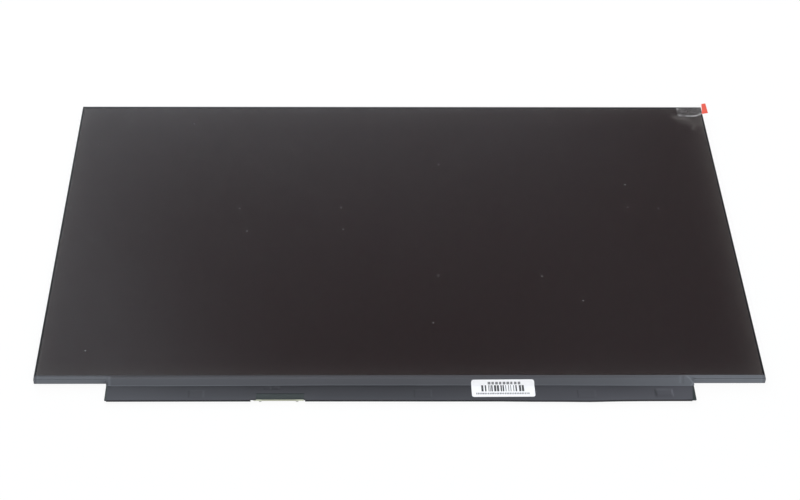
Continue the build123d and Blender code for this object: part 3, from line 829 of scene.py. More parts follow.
@dataclass
class ScreenFront:
    """The shipping film over the polariser, lifted at its top right corner by the pull tab.

    Sizes are in millimetres, and veils are shares of a sheet's lifted veil. A line has its inset and its
    width, and a start has its place and the run over which a change sets in. The haze has a share for the
    left, right, upper and lower edge. Each painted highlight spot has its place from the tape's corner, its
    width and share.
    """

    lifted_size: tuple[float, float] = (19.3, 16.6)
    lifted_height: float = 0.16
    squareness: float = 3.0
    border_rate: float = 5.0
    ridge: Knots = (
        (157.4, 93.4), (161.5, 91.1), (164.2, 91.6), (166.9, 89.7), (168.8, 86.4), (170.2, 84.4),
    )
    ridge_width: float = 0.8
    ridge_height: float = 0.08
    ridge_soft: float = 1.0
    patch_veil: float = 0.14
    ridge_veil: float = 0.34
    speck: tuple[float, float] = (168.1, 82.9)
    speck_width: float = 0.8
    speck_veil: float = 0.8
    edge_strip: float = 1.8
    strip_end: float = 77.0
    strip_veil: float = 0.12
    tape_shade: float = 0.8
    shade_soft: float = 0.4
    curl_flat: float = 7.0
    curl_radius: float = 25.0
    grip_slope: float = 0.2
    twist: float = 1.0
    cling_gap: float = 0.004
    fine_reach: float = 26.0
    fine_step: float = 0.3
    coarse_steps: int = 48
    haze: tuple[float, float, float, float] = (0.08, 0.16, 0.08, 0.08)
    haze_reach: float = 5.0
    haze_run: float = 15.0
    haze_step: float = 1.0
    rim_highlight: float = 0.10
    rim_width: float = 0.35
    tape_skew: float = 1.25
    skew_stop: float = 0.5
    skew_run: float = 4.0
    near_line: tuple[float, float] = (0.5, 0.55)
    near_highlight: tuple[float, float] = (0.1, 0.8)
    near_start: tuple[float, float] = (3.6, 1.6)
    far_veil: float = 0.02
    far_start: tuple[float, float] = (2.6, 1.5)
    highlight_spots: Knots = ((1.2, 1.1, 0.8, 0.7), (0.6, 6.9, 1.0, 0.55), (2.8, 4.6, 0.9, 0.15))
    tape_points: tuple[int, int] = (70, 48)
    grip_points: tuple[int, int] = (16, 40)
    grip_flare: tuple[float, float] = (0.6, 0.5)
    grip_hinge: float = 0.7

    def __post_init__(self) -> None:
        """Reads the film's, tab's and polariser's places from the frame."""
        self.film = extent("protective_film")
        self.tape = extent("pull_tab_tape")
        self.grip = extent("pull_tab_grip")
        self.polariser = extent("front_polariser")

    def lifted(self, x: np.ndarray, y: np.ndarray) -> np.ndarray:
        """Gives 1 where the film has come off and 0 where it clings.

        The lifted patch is a quarter of a superellipse about the film's corner, with soft borders.

        Args:
            x: Places along X, in millimetres.
            y: Places along Y.

        Returns:
            How far the film is off at each place, from 0 to 1.
        """
        wide, tall = self.lifted_size
        across = np.clip(self.film.right - x, 0, None) / wide
        along = np.clip(self.film.top - y, 0, None) / tall
        inside = 1 - (across ** self.squareness + along ** self.squareness) ** (1 / self.squareness)
        return ease(inside * self.border_rate)

    def fold(self, x: np.ndarray, y: np.ndarray) -> np.ndarray:
        """Gives the crumpled fold across the lifted patch: a bell curve about a line through a few points.

        Args:
            x: Places along X, in millimetres.
            y: Places along Y.

        Returns:
            The fold's share of its height at each place, from 0 to 1.
        """
        first, last, soft = self.ridge[0][0], self.ridge[-1][0], self.ridge_soft
        ends = ease((x - first + soft) / (2 * soft)) * ease((last + soft - x) / (2 * soft))
        return bump(y - between(x, self.ridge), self.ridge_width) * ends

    def lift(self, x: np.ndarray, y: np.ndarray) -> np.ndarray:
        """Gives how far the film and the tab stand off the polariser.

        The lifted patch is a low plateau with a fold across it. Beside the tab, the film follows the tab's
        curl: a circle of the curl radius after its flat part, and a straight, flatter run past the panel's
        edge. The twist grows along the curl and towards the far edge.

        Args:
            x: Places along X, in millimetres.
            y: Places along Y.

        Returns:
            The height above the polariser at each place.
        """
        patch = self.lifted_height * self.lifted(x, y) + self.ridge_height * self.fold(x, y)
        along = np.clip(x - self.tape.left - self.curl_flat, 0, None)
        turn = self.tape.right - self.tape.left - self.curl_flat
        held = np.minimum(along, turn)
        circle = self.curl_radius - np.sqrt(self.curl_radius ** 2 - held ** 2)
        curl = circle + self.grip_slope * (along - held)
        width = self.tape.top - self.tape.bottom
        across = np.clip((y - self.tape.bottom) / width, 0, 1)
        beside = ease((y - self.tape.bottom + width) / width)
        return patch + beside * (curl + self.twist * ease(along / turn) * across)

    def edge_haze_and_highlight(self, x: np.ndarray, y: np.ndarray) -> np.ndarray:
        """Gives the film's haze near its edges, and the painted highlight on its cut rim.

        Dust thins out inwards from each edge with an exponential curve, and a painted highlight on the cut
        rim shows as a fine light line on all edges but the lower one.

        Args:
            x: Places along X, in millimetres.
            y: Places along Y.

        Returns:
            The haze and rim highlight at each place, as a share of the lifted veil.
        """
        film = self.film
        inwards = np.stack([x - film.left, film.right - x, film.top - y, y - film.bottom])
        dust = np.exp(-inwards / self.haze_reach)
        # Painted highlight on the cut rim.
        rim = self.rim_highlight * bump(inwards[:3].min(axis=0), self.rim_width)
        return np.tensordot(np.array(self.haze), dust, axes=1) + rim

    def film_veil(self, x: np.ndarray, y: np.ndarray) -> np.ndarray:
        """Gives how far the film veils the screen.

        It veils a little where it is off and more on its fold, but hardly beside the tape. A strip along its
        right edge, a speck, and the haze and painted rim highlight of its edges come on top.

        Args:
            x: Places along X, in millimetres.
            y: Places along Y.

        Returns:
            The veil at each place, as a share of the lifted veil.
        """
        soft = self.shade_soft
        bare = 1 - self.tape_shade * ease((y - self.tape.bottom + soft) / (2 * soft))
        made = (self.patch_veil * self.lifted(x, y) + self.ridge_veil * self.fold(x, y)) * bare
        strip = bump(np.clip(self.film.right - x, 0, None), self.edge_strip)
        made += self.strip_veil * strip * ease((y - self.strip_end) / self.edge_strip)
        made += self.speck_veil * bump(np.hypot(x - self.speck[0], y - self.speck[1]), self.speck_width)
        return made + self.edge_haze_and_highlight(x, y)

    def near_edge(self, x: np.ndarray) -> np.ndarray:
        """Gives where the clear tape's near edge runs: cut askew, it meets the grip's at its right end."""
        askew = ease((self.tape.right - self.skew_stop - x) / self.skew_run)
        return self.tape.bottom - self.tape_skew * askew

    def tape_veil_and_highlights(self, x: np.ndarray, y: np.ndarray) -> np.ndarray:
        """Gives how far the tape whitens, with its painted highlights.

        A painted highlight runs along its near edge, stronger past its middle, and painted highlights lie in
        a few spots with bell curves near its left end. It whitens slightly in its far part.

        Args:
            x: Places along X, in millimetres.
            y: Places along Y.

        Returns:
            The veil with its painted highlights at each place, from 0 to 1.
        """
        left, bottom = self.tape.left, self.tape.bottom - self.tape_skew
        inset, width = self.near_line
        start, soft = self.near_start
        least, more = self.near_highlight
        # Painted highlight along the tape's near edge.
        made = bump(y - self.near_edge(x) - inset, width) * (least + more * ease((x - left - start) / soft))
        start, soft = self.far_start
        made = made + self.far_veil * ease((y - bottom - start) / soft)
        # Painted highlight spots.
        for across, along, width, share in self.highlight_spots:
            made = made + share * bump(np.hypot(x - left - across, y - bottom - along), width)
        return np.clip(made, 0, 1)

    def graded(self, low: float, high: float) -> np.ndarray:
        """Spaces points along an edge: wide steps between a hazy first stretch and a fine last one.

        Args:
            low: The edge's start, in millimetres.
            high: Its end.

        Returns:
            The points' places.
        """
        first, turn = low + self.haze_run, high - self.fine_reach
        hazy = np.arange(low, first, self.haze_step)
        fine = np.linspace(turn, high, round(self.fine_reach / self.fine_step) + 1)
        return np.concatenate([hazy, np.linspace(first, turn, self.coarse_steps, endpoint=False), fine])

    def sheet_at(self, x: np.ndarray, y: np.ndarray, stand: float) -> np.ndarray:
        """Gives a grid over places x and y, at a stand above the polariser plus the lift."""
        return np.stack([x, y, self.polariser.front + stand + self.lift(x, y)], axis=2)

    def tape_grid(self, stand: float) -> np.ndarray:
        """Gives the clear tape's inner face, from its near edge to its far one.

        Args:
            stand: Its height above the polariser where nothing is lifted, in millimetres.

        Returns:
            A grid of points.
        """
        along = np.linspace(self.tape.left, self.tape.right, self.tape_points[0])
        x, share = np.meshgrid(along, np.linspace(0, 1, self.tape_points[1]), indexing="ij")
        low = self.near_edge(x)
        return self.sheet_at(x, low + (self.tape.top - low) * share, stand)

    def grip_grid(self, stand: float) -> np.ndarray:
        """Gives the grip's inner face, whose left and right edge flare towards its near end.

        Args:
            stand: Its height above the polariser where nothing is lifted, in millimetres.

        Returns:
            A grid of points.
        """
        grip = self.grip
        across, share = np.meshgrid(*(np.linspace(0, 1, count) for count in self.grip_points), indexing="ij")
        left = grip.left - self.grip_flare[0] * (1 - share)
        right = grip.right + self.grip_flare[1] * (self.grip_hinge - share)
        return self.sheet_at(left + across * (right - left), grip.bottom + grip.size[1] * share, stand)

    def build(self) -> None:
        """Makes the film, the clear tape and the grip."""
        film = self.film
        thick = film.size[2]
        edges = self.graded(film.left, film.right), self.graded(film.bottom, film.top)
        x, y = np.meshgrid(*edges, indexing="ij")
        marks = {VEIL: self.film_veil(x, y)}
        grid = self.sheet_at(x, y, self.cling_gap)
        piece = make_sheet("lifted_shipping_film", grid, thick, [FILM], marks=marks)
        carry(piece, "clear_film", "protective_film")

        stand = thick + 2 * self.cling_gap
        grid = self.tape_grid(stand)
        marks = {VEIL: self.tape_veil_and_highlights(grid[..., 0], grid[..., 1])}
        piece = make_sheet("pull_tab_clear_tape", grid, thick, [TAB_TAPE], marks=marks)
        carry(piece, "tab_tape", "pull_tab_tape")

        grid = self.grip_grid(stand + thick + self.cling_gap)
        carry(make_sheet("pull_tab_red_grip", grid, 2 * thick, [GRIP]), "red_grip", "pull_tab_grip")


@dataclass
class BorderTapes:
    """The black tapes that wrap the left, right and top edge from the glass to the back plate."""

    thickness: float = 0.06
    fold_radius: float = 0.1
    side_lap: float = 1.0
    top_lap: float = 1.8
    rear_lap: float = 5.0
    rear_stop: float = 1.55
    fold_steps: int = 6
    points_along: int = 60

    def __post_init__(self) -> None:
        """Reads the tapes', glass's and frame's places from the frame."""
        self.side = extent("right_edge_tape")
        self.top = extent("top_edge_tape")
        self.cover = extent("bottom_cover_tape")
        self.glass = extent("colour_filter_glass")
        self.moulding = extent("mould_frame")

    def profile(self, reach: float, front_lap: float) -> np.ndarray:
        """Gives a tape's inner path across an edge: out along the front, down the side and in along the rear.

        Args:
            reach: How far the edge is from the panel's middle.
            front_lap: How far the tape laps over the front.

        Returns:
            The path as distances from the middle and heights, with rounded folds.
        """
        front, rear = self.glass.front, self.side.rear + self.thickness
        corners = [(reach - front_lap, front), (reach, front), (reach, rear), (reach - self.rear_lap, rear)]
        return rounded(np.array(corners), np.full(2, self.fold_radius), self.fold_steps)

    def side_tapes(self) -> None:
        """Makes the two side tapes, each stopped at the tapes above and below it."""
        reach = self.side.right - self.thickness
        path = self.profile(reach, self.side_lap)
        on_front = path[:, 1] > self.cover.front
        on_rear = (path[:, 0] < reach - self.side_lap) & ~on_front
        low = np.where(on_front, self.glass.bottom, self.moulding.bottom)
        low = np.where(on_rear, self.moulding.bottom + self.rear_stop, low)
        high = np.where(on_front, self.top.top - self.top_lap, self.top.top)
        high = np.where(on_rear, self.top.top - self.rear_lap, high)
        y = low + (high - low) * np.linspace(0, 1, self.points_along)[:, None]
        for side in Side:
            x = np.broadcast_to(side.value * path[:, 0], y.shape)
            grid = np.stack([x, y, np.broadcast_to(path[:, 1], y.shape)], axis=2)[::-side.value]
            name = side.name.lower()
            piece = make_sheet(f"{name}_border_tape", grid, self.thickness, [BLACK_TAPE])
            carry(piece, "black_tape", f"{name}_edge_tape")

    def top_tape(self) -> None:
        """Makes the top tape."""
        path = self.profile(self.top.top - self.thickness, self.top_lap)
        x = np.linspace(self.top.left, self.top.right, self.points_along)
        across, along = np.meshgrid(x, np.arange(len(path)), indexing="ij")
        grid = np.stack([across, path[along, 0], path[along, 1]], axis=2)
        piece = make_sheet("top_border_tape", grid, self.thickness, [BLACK_TAPE])
        carry(piece, "black_tape", "top_edge_tape")

    def build(self) -> None:
        """Makes the three tapes."""
        self.side_tapes()
        self.top_tape()


@dataclass(frozen=True)
class Crease:
    """A soft ridge across the cover tape: its place at the tape's upper edge and a span below, and its shape.

    A light above 0 paints a highlight along the ridge, and one below 0 paints shade there.
    """

    start: float
    end: float
    width: float
    height: float
    light: float
    first: float = 0.0
    last: float = 9.0
    span: float = 5.0
    soft: float = 0.5

    def along(self, x: np.ndarray, run: np.ndarray) -> np.ndarray:
        """Gives the ridge's bell curve.

        Args:
            x: Places along X.
            run: Distances down the tape from its upper edge.

        Returns:
            From 0 to 1 by the distance from the ridge's line, and 0 above its first and below its last run.
        """
        line = self.start + (self.end - self.start) * run / self.span
        ends = ease((run - self.first) / self.soft + 1), ease((self.last - run) / self.soft)
        return bump(x - line, self.width) * ends[0] * ends[1]


@dataclass
class CoverTape:
    """The grey tape below the screen: it slopes down to the board, and its two ends fold round the panel.

    Sizes are in millimetres, and lights are painted highlights, and below 0 painted shade, as shares of the
    way to the paler colour. A start or an edge has its place and the run over which a change sets in, and a
    line has its inset and its width. Each row of the painted light table has a place along X and the painted
    light on the flat and on the slope, and each row of the dips has a place and how far the lower edge dips
    there.
    """

    thickness: float = 0.08
    flat: float = 1.2
    bend: float = 0.45
    bond: float = 0.35
    stand_off: float = 0.13
    sag: float = 0.1
    rear_gap: float = 0.05
    rear_lap: float = 1.6
    bend_radius: float = 0.9
    landing_radius: float = 0.5
    fold_radius: float = 0.6
    foot_radius: float = 0.3
    foot_height: float = 0.35
    slit: float = 0.03
    ripple: float = 0.012
    ripple_mm: tuple[float, float, float] = (5.3, 17.0, 29.0)
    ripple_shift: tuple[float, float] = (1.0, 2.0)
    ripple_lean: float = 0.4
    swell: float = 0.7
    relief_run: float = 2.0
    path_points: int = 36
    lap: float = 0.18
    lap_gap: float = 0.012
    step_run: float = 0.25
    step_radius: float = 0.0625
    flat_points: int = 12
    arc_points: tuple[int, int] = (4, 9)
    fine_end: float = 8.0
    points_across: tuple[int, int, int] = (24, 44, 701)
    dip_run: float = 3.0
    slope_start: tuple[float, float] = (1.1, 0.7)
    # Painted highlights along the edges and in stripes at the right end, and painted highlight and shade on
    # the ears.
    top_light: float = 0.14
    top_edge: tuple[float, float] = (0.35, 0.3)
    edge_light: float = 0.14
    edge_line: tuple[float, float] = (0.25, 0.3)
    stripe_light: float = 0.07
    stripe_start: float = 0.82
    stripe_step: float = 1.35
    ear: float = 1.8
    ear_light: float = 0.15
    ear_width: float = 0.35
    ear_shade: float = 0.18
    ear_soft: float = 0.6
    # Painted light and shade along X: the flat is painted darker than the slope, and both are painted paler
    # towards the ends.
    painted_light_table: Knots = (
        (-175, 0.29, 0.57), (-141, 0.26, 0.52), (-139.4, 0.0, 0.31), (-105, 0.0, 0.29), (-60, 0.01, 0.22),
        (0, 0.03, 0.19), (60, 0.06, 0.23), (104, 0.17, 0.34), (133, 0.33, 0.48), (141, 0.55, 0.58),
        (175, 0.60, 0.66),
    )
    dips: Knots = (
        (-175, 0.25), (-141, 0.25), (-140.4, 0.42), (-105, 0.38), (-60, 0.18), (-33, 0.06), (10, 0.12),
        (77, 0.18), (106, 0.40), (140.4, 0.52), (141, 0.14), (175, 0.14),
    )
    creases: tuple[Crease, ...] = (
        Crease(137.4, 141.2, 0.28, 0.16, 0.55),
        Crease(143.6, 138.6, 0.28, 0.12, 0.42, first=2.4),
        Crease(134.4, 133.6, 0.45, 0.08, 0.16, last=4.0),
        Crease(135.8, 135.2, 0.45, -0.06, -0.12, last=4.0),
        Crease(140.6, 140.6, 0.8, -0.10, -0.20, first=1.2, last=3.4),
        Crease(-139.2, -139.0, 0.55, 0.12, 0.28),
        Crease(-139.9, -140.1, 0.35, -0.10, -0.35, first=3.2),
    )

    def __post_init__(self) -> None:
        """Reads the tape's, glass's, frame's and board's places from the frame."""
        self.tape = extent("bottom_cover_tape")
        self.glass = extent("colour_filter_glass")
        self.frame_bottom = extent("mould_frame").bottom
        self.board = extent("control_board")
        self.seat = self.tape.front - self.thickness
        self.low = extent("board_cover_film").front

    def path(self, over_board: bool) -> np.ndarray:
        """Gives the tape's inner path in Y and Z, from its upper edge.

        Args:
            over_board: True where the tape slopes down to the board, False where it folds round the panel.

        Returns:
            The part that laps over the glass and steps down from it, and evenly spaced points along the rest.
        """
        start, seat = self.tape.top - self.flat, self.seat
        if over_board:
            corners = [(start, seat), (start - self.bend, seat)]
            corners += [(self.tape.bottom + self.bond, self.low), (self.tape.bottom, self.low)]
            radii = [self.bend_radius, self.landing_radius]
        else:
            fold, rear = self.frame_bottom - self.stand_off, self.tape.rear + self.rear_gap
            corners = [(start, seat), (fold, seat + self.sag), (fold, rear), (fold + self.rear_lap, rear)]
            radii = [self.fold_radius, self.foot_radius]
        edge, on_glass = self.glass.bottom, self.glass.front + self.lap_gap
        steps = [(edge + self.lap, on_glass), (edge - self.lap_gap, on_glass)]
        steps += [(edge - self.step_run, seat), (start, seat)]
        small, large = self.arc_points
        level = rounded(np.array(steps), np.full(2, self.step_radius), small)
        rest = rounded(np.array(corners), np.array(radii), large)
        return np.concatenate([spaced(level, self.flat_points + 1)[:-1], spaced(rest, self.path_points)])

    def relief(self, x: np.ndarray, run: np.ndarray) -> np.ndarray:
        """Gives the height of the creases at the slits and of the ripples of a tape laid by hand.

        The ripples are a product of two slow sine waves along X, the first of which leans, plus a slower
        swell. All fade in below the tape's upper edge.

        Args:
            x: Places along X, in millimetres.
            run: Distances down the tape, counted from the glass.

        Returns:
            The height along the tape's normal.
        """
        short, long, slow = self.ripple_mm
        waves = np.sin(x / short + self.ripple_lean * run) * np.sin(x / long + self.ripple_shift[0])
        waves += self.swell * np.sin(x / slow + self.ripple_shift[1])
        ridges = sum(crease.height * crease.along(x, run) for crease in self.creases)
        return (ridges + self.ripple * waves) * ease(run / self.relief_run)

    def painted_light(self, x: np.ndarray, run: np.ndarray, left_over: np.ndarray) -> np.ndarray:
        """Gives the painted light and shade on the tape.

        It is painted paler towards its ends and on its slope, with painted highlights along its creases, its
        upper and its lower edge and in stripes at its right end, and painted shade along some creases. Its
        two ears have a painted highlight line and painted shade past it.

        Args:
            x: Places along X, in millimetres.
            run: Distances down the tape, counted from the glass.
            left_over: Distances to the tape's lower edge.

        Returns:
            0 for the tape's own colour and 1 for the paler one.
        """
        flat, slope = (between(x, self.painted_light_table, column) for column in (1, 2))
        start, soft = self.slope_start
        made = flat + (slope - flat) * ease((run - start) / soft)
        start, soft = self.top_edge
        made += self.top_light * ease((start - run) / soft)
        inset, width = self.edge_line
        made += self.edge_light * (np.abs(x) <= self.board.right) * bump(left_over - inset, width)
        made += sum(crease.light * crease.along(x, run) for crease in self.creases)
        stripes = np.cos(math.tau * (run - self.stripe_start) / self.stripe_step)
        made += self.stripe_light * (x > self.board.right) * stripes
        past = self.ear - (self.tape.right - np.abs(x))
        made += self.ear_light * bump(past, self.ear_width) - self.ear_shade * ease(past / self.ear_soft)
        return np.clip(made, 0, 1)

    def columns(self) -> np.ndarray:
        """Spaces the tape's columns along X, finer beside the slits than at its ends.

        Returns:
            The columns' places, in millimetres.
        """
        edge = self.board.right
        fine, coarse, over_board = self.points_across
        near = np.linspace(edge + self.slit, edge + self.fine_end, fine, endpoint=False)
        ends = np.concatenate([near, np.linspace(edge + self.fine_end, self.tape.right, coarse)])
        return np.concatenate([-ends[::-1], np.linspace(-edge, edge, over_board), ends])

    def build(self) -> None:
        """Makes the tape as one sheet, slit at the board's ends."""
        edge, slit = self.board.right, self.slit
        x = self.columns()
        place = np.where((np.abs(x) <= edge)[:, None, None], self.path(True), self.path(False))
        across = np.broadcast_to(x[:, None], place.shape[:2])
        steps = np.linalg.norm(np.diff(place, axis=1), axis=2)
        length = np.pad(np.cumsum(steps, axis=1), ((0, 0), (1, 0)))
        run = length - length[:, self.flat_points, None] + self.flat
        dip = between(across, self.dips) * ease((run - self.flat) / self.dip_run)
        place = np.stack([place[..., 0] - dip, place[..., 1]], axis=2)
        grid = np.concatenate([across[..., None], place], axis=2)[:, ::-1]
        lifted = self.relief(across, run) * ease(place[..., 1] / self.foot_height - 1)
        grid = grid + normals(grid) * lifted[:, ::-1, None]
        keep = np.ones((len(x) - 1, place.shape[1] - 1), bool)
        cuts = np.flatnonzero(np.diff(x) < 2 * slit)
        keep[np.ix_(cuts, np.arange(keep.shape[1] - self.flat_points))] = False
        middles = (grid[1:, 1:] + grid[:-1, :-1]) / 2
        foot = (np.abs(middles[..., 0]) > edge) & (middles[..., 2] < self.foot_height)
        marks = {PAINTED_LIGHT: self.painted_light(across, run, length[:, -1:] - length)[:, ::-1]}
        coats = [COVER_TAPE, BLACK_TAPE]
        piece = make_sheet("bottom_grey_tape", grid, self.thickness, coats, keep, foot.astype(int), marks)
        carry(piece, "grey_tape", "bottom_cover_tape")

    def height(self, y: np.ndarray) -> np.ndarray:
        """Gives the height of the tape's outer face over the board at places along Y."""
        outer = self.path(True) + [0, self.thickness]
        return np.interp(y, outer[::-1, 0], outer[::-1, 1])


@dataclass(frozen=True)
class Bump:
    """A low flat-topped rise of the board's film over a part below it."""

    left: float
    right: float
    bottom: float
    top: float
    tall: float
    slope: float = 0.7
    run: float = 0.7

    def height(self, x: np.ndarray, y: np.ndarray) -> np.ndarray:
        """Gives the rise at places x and y: its height times a soft step in from each of its four sides."""
        along = ease((x - self.left) / self.slope) * ease((self.right - x) / self.slope)
        return self.tall * along * ease((y - self.bottom) / self.run) * ease((self.top - y) / self.run)


@dataclass
class BoardFilm:
    """The dark film over the control board: folded over its outer edge, and open above the connector.

    Sizes are in millimetres. Reaches run left and right from the connector's middle, the press has its reach
    and its soft run, and the slant moves the upper and the outer edge at the right end. The rows are those
    above and below the window's edge, of the fold and of the lip. Each row of the overhang has a place along
    X and how far the film stands past the board. Each row of the painted light table has a place and the
    painted light at both long edges.
    """

    thickness: float = 0.08
    tuck: float = 0.1
    recess_reach: tuple[float, float] = (13.3, 12.6)
    window_reach: tuple[float, float] = (10.8, 12.0)
    window_depth: float = 4.2
    window_press: tuple[float, float] = (17.0, 4.0)
    press_share: float = 0.85
    step: float = 0.004
    fold_radius: float = 0.12
    lip_gap: float = 0.02
    lip_foot: float = 0.8
    bulge: float = 0.10
    end_rise: float = 0.15
    end_run: float = 9.0
    slant: tuple[float, float] = (0.55, -0.75)
    slant_run: float = 30.0
    rows: tuple[int, int, int, int] = (22, 20, 6, 4)
    points_across: tuple[int, int, int, int, int] = (80, 6, 30, 4, 300)
    overhang: Knots = (
        (-139, 0.12), (-121, 0.10), (-104, 0.08), (-74, 0.08), (-43, 0.08), (-19, 0.10), (19, 0.19),
        (47, 0.21), (62, 0.40), (76, 0.46), (90, 0.61), (104, 0.25), (114, 0.13), (128, 0.08), (133, 0.08),
        (139, 0.08),
    )
    # Painted light along X at the film's inner and outer edge.
    painted_light_table: Knots = (
        (-140, 0.17, 0.44), (-129, 0.15, 0.44), (-105, 0.04, 0.38), (-33, 0.01, 0.32), (0, 0.01, 0.33),
        (77, 0.21, 0.41), (106, 0.18, 0.52), (120, 0.27, 0.53), (134.5, 0.41, 0.55), (140, 0.42, 0.55),
    )
    painted_light_power: float = 1.3
    slope_painted_light: float = 1.3
    slope_reach: float = 0.2
    bumps: tuple[Bump, ...] = (
        Bump(121.2, 129.9, -112.6, -106.2, 0.31, 0.8, 2.4),
        Bump(-61.4, -57.5, -107.1, -104.9, 0.14),
        Bump(-65.2, -61.8, -107.2, -104.8, 0.08),
        Bump(-101.0, -93.5, -112.4, -107.4, 0.05),
        Bump(6.0, 15.0, -112.2, -107.0, 0.05),
        Bump(84.0, 93.0, -112.5, -107.2, 0.06),
    )

    def __post_init__(self) -> None:
        """Reads the film's, board's and connector's places from the frame."""
        self.film = extent("board_cover_film")
        self.board = extent("control_board")
        self.connector = extent("connector_housing")

    def share(self, y: np.ndarray) -> np.ndarray:
        """Gives how far a place is on the way from the film's upper edge to the board's outer edge."""
        return np.clip((self.film.top - y) / (self.film.top - self.board.bottom), 0, 1)

    def height(self, x: np.ndarray, y: np.ndarray) -> np.ndarray:
        """Gives the height of the film's inner face.

        It bulges as a parabola between its two long edges, though less where it is pressed down beside the
        window, rises over the parts below it and lifts at its right end.

        Args:
            x: Places along X, in millimetres.
            y: Places along Y.

        Returns:
            The height at each place.
        """
        share = self.share(y)
        reach, soft = self.window_press
        pressed = ease((reach - np.abs(x - self.connector.middle[0])) / soft)
        made = self.board.front + self.bulge * 4 * share * (1 - share) * (1 - self.press_share * pressed)
        made = made + sum(rise.height(x, y) for rise in self.bumps)
        ends = ease((x - self.film.right + self.end_run) / self.end_run)
        return made + self.end_rise * ends ** 2 * share

    def columns(self) -> tuple[np.ndarray, np.ndarray, np.ndarray]:
        """Spaces the film's columns, with a pair of them close together at each end of the recess.

        Returns:
            The columns' X, the columns' outer edge in Y, and for each strip between two columns whether it is
            cut away below the window's upper edge.
        """
        middle = self.connector.middle[0]
        stops = [middle - self.recess_reach[0], middle - self.window_reach[0]]
        stops += [middle + self.window_reach[1], middle + self.recess_reach[1]]
        left, beside, window, after, right = self.points_across
        runs = [
            np.linspace(self.film.left, stops[0] - self.step, left),
            np.linspace(stops[0], stops[1], beside, endpoint=False),
            np.linspace(stops[1], stops[2], window, endpoint=False),
            np.linspace(stops[2], stops[3], after),
            np.linspace(stops[3] + self.step, self.film.right, right),
        ]
        x = np.concatenate(runs)
        outside = self.board.bottom - between(x, self.overhang) + self.thickness
        recess = self.connector.bottom - self.lip_gap
        edge = np.where((x >= stops[0]) & (x <= stops[3]), recess, outside)
        middles = (x[1:] + x[:-1]) / 2
        cut = (middles > stops[1]) & (middles < stops[2]) | (np.diff(x) < 2 * self.step)
        return x, edge, cut

    def painted_light(self, x: np.ndarray, y: np.ndarray) -> np.ndarray:
        """Gives the painted light on the film: paler towards its outer edge and its ends, lighter right of
        each rise and darker left of it.

        Args:
            x: Places along X, in millimetres.
            y: Places along Y.

        Returns:
            0 for the film's own colour and 1 for the paler one.
        """
        inner, outer = (between(x, self.painted_light_table, column) for column in (1, 2))
        reach = self.slope_reach
        fall = sum(rise.height(x - reach, y) - rise.height(x + reach, y) for rise in self.bumps) / (2 * reach)
        # Painted light: paler from the inner edge to the outer one, and a painted highlight and shade on the
        # sides of the rises.
        outward_light = inner + (outer - inner) * self.share(y) ** self.painted_light_power
        return np.clip(outward_light + self.slope_painted_light * fall, 0, 1)

    def build(self) -> None:
        """Makes the film as one sheet with its window cut out.

        Each column runs flat to the window's upper edge, on to the fold, round a quarter circle and down the
        lip.
        """
        columns, edge, cut = self.columns()
        above, below, turn, lip = self.rows
        top, stop = self.film.top + self.tuck, self.board.bottom + self.window_depth
        edge, start = edge[:, None], edge[:, None] + self.fold_radius
        angle = np.linspace(0, math.pi / 2, turn)[1:]
        flat = np.broadcast_to(np.linspace(top, stop, above), (len(columns), above))
        y = np.concatenate([
            flat,
            stop + (start - stop) * np.linspace(0, 1, below)[1:],
            start - self.fold_radius * np.sin(angle),
            np.broadcast_to(edge, (len(columns), lip - 1)),
        ], axis=1)
        lean = ease((columns - self.film.right + self.slant_run) / self.slant_run)[:, None]
        x = columns[:, None] + lean * (self.slant[0] + (self.slant[1] - self.slant[0]) * self.share(y))
        z = self.height(x, np.maximum(y, start))
        folded = z[:, -1:] - self.fold_radius * (1 - np.cos(angle))
        down = folded[:, -1:] + (self.lip_foot - folded[:, -1:]) * np.linspace(0, 1, lip)[1:]
        z = np.concatenate([z[:, :above + below - 1], folded, down], axis=1)
        grid = np.stack([x, y, z], axis=2)[::-1]
        rows = np.arange(y.shape[1] - 1)
        keep = ~(cut[::-1, None] & (rows >= above - 1))
        outer = (edge[1:] < self.connector.bottom - self.film.size[2])[::-1]
        # The lip's faces take the darker lip finish: painted shade on the fold over the board's edge.
        coats = (outer & (rows >= above + below - 2)).astype(int)
        marks = {PAINTED_LIGHT: self.painted_light(x, y)[::-1]}
        piece = make_sheet("board_dark_film", grid, self.thickness, [BOARD_FILM, SHADED_LIP], keep, coats, marks)
        carry(piece, "board_film", "board_cover_film")


def rounded_inset(rows: np.ndarray, low: float, high: float, radius: float) -> np.ndarray:
    """Gives how far an outline's sides draw in at each row for round corners.

    Args:
        rows: Places of the rows.
        low: The outline's lower end.
        high: Its upper end.
        radius: The corners' radius.

    Returns:
        The inset of each row: the radius less the height of a circle.
    """
    into = np.clip(radius - np.minimum(rows - low, high - rows), 0, radius)
    return radius - np.sqrt(radius ** 2 - into ** 2)


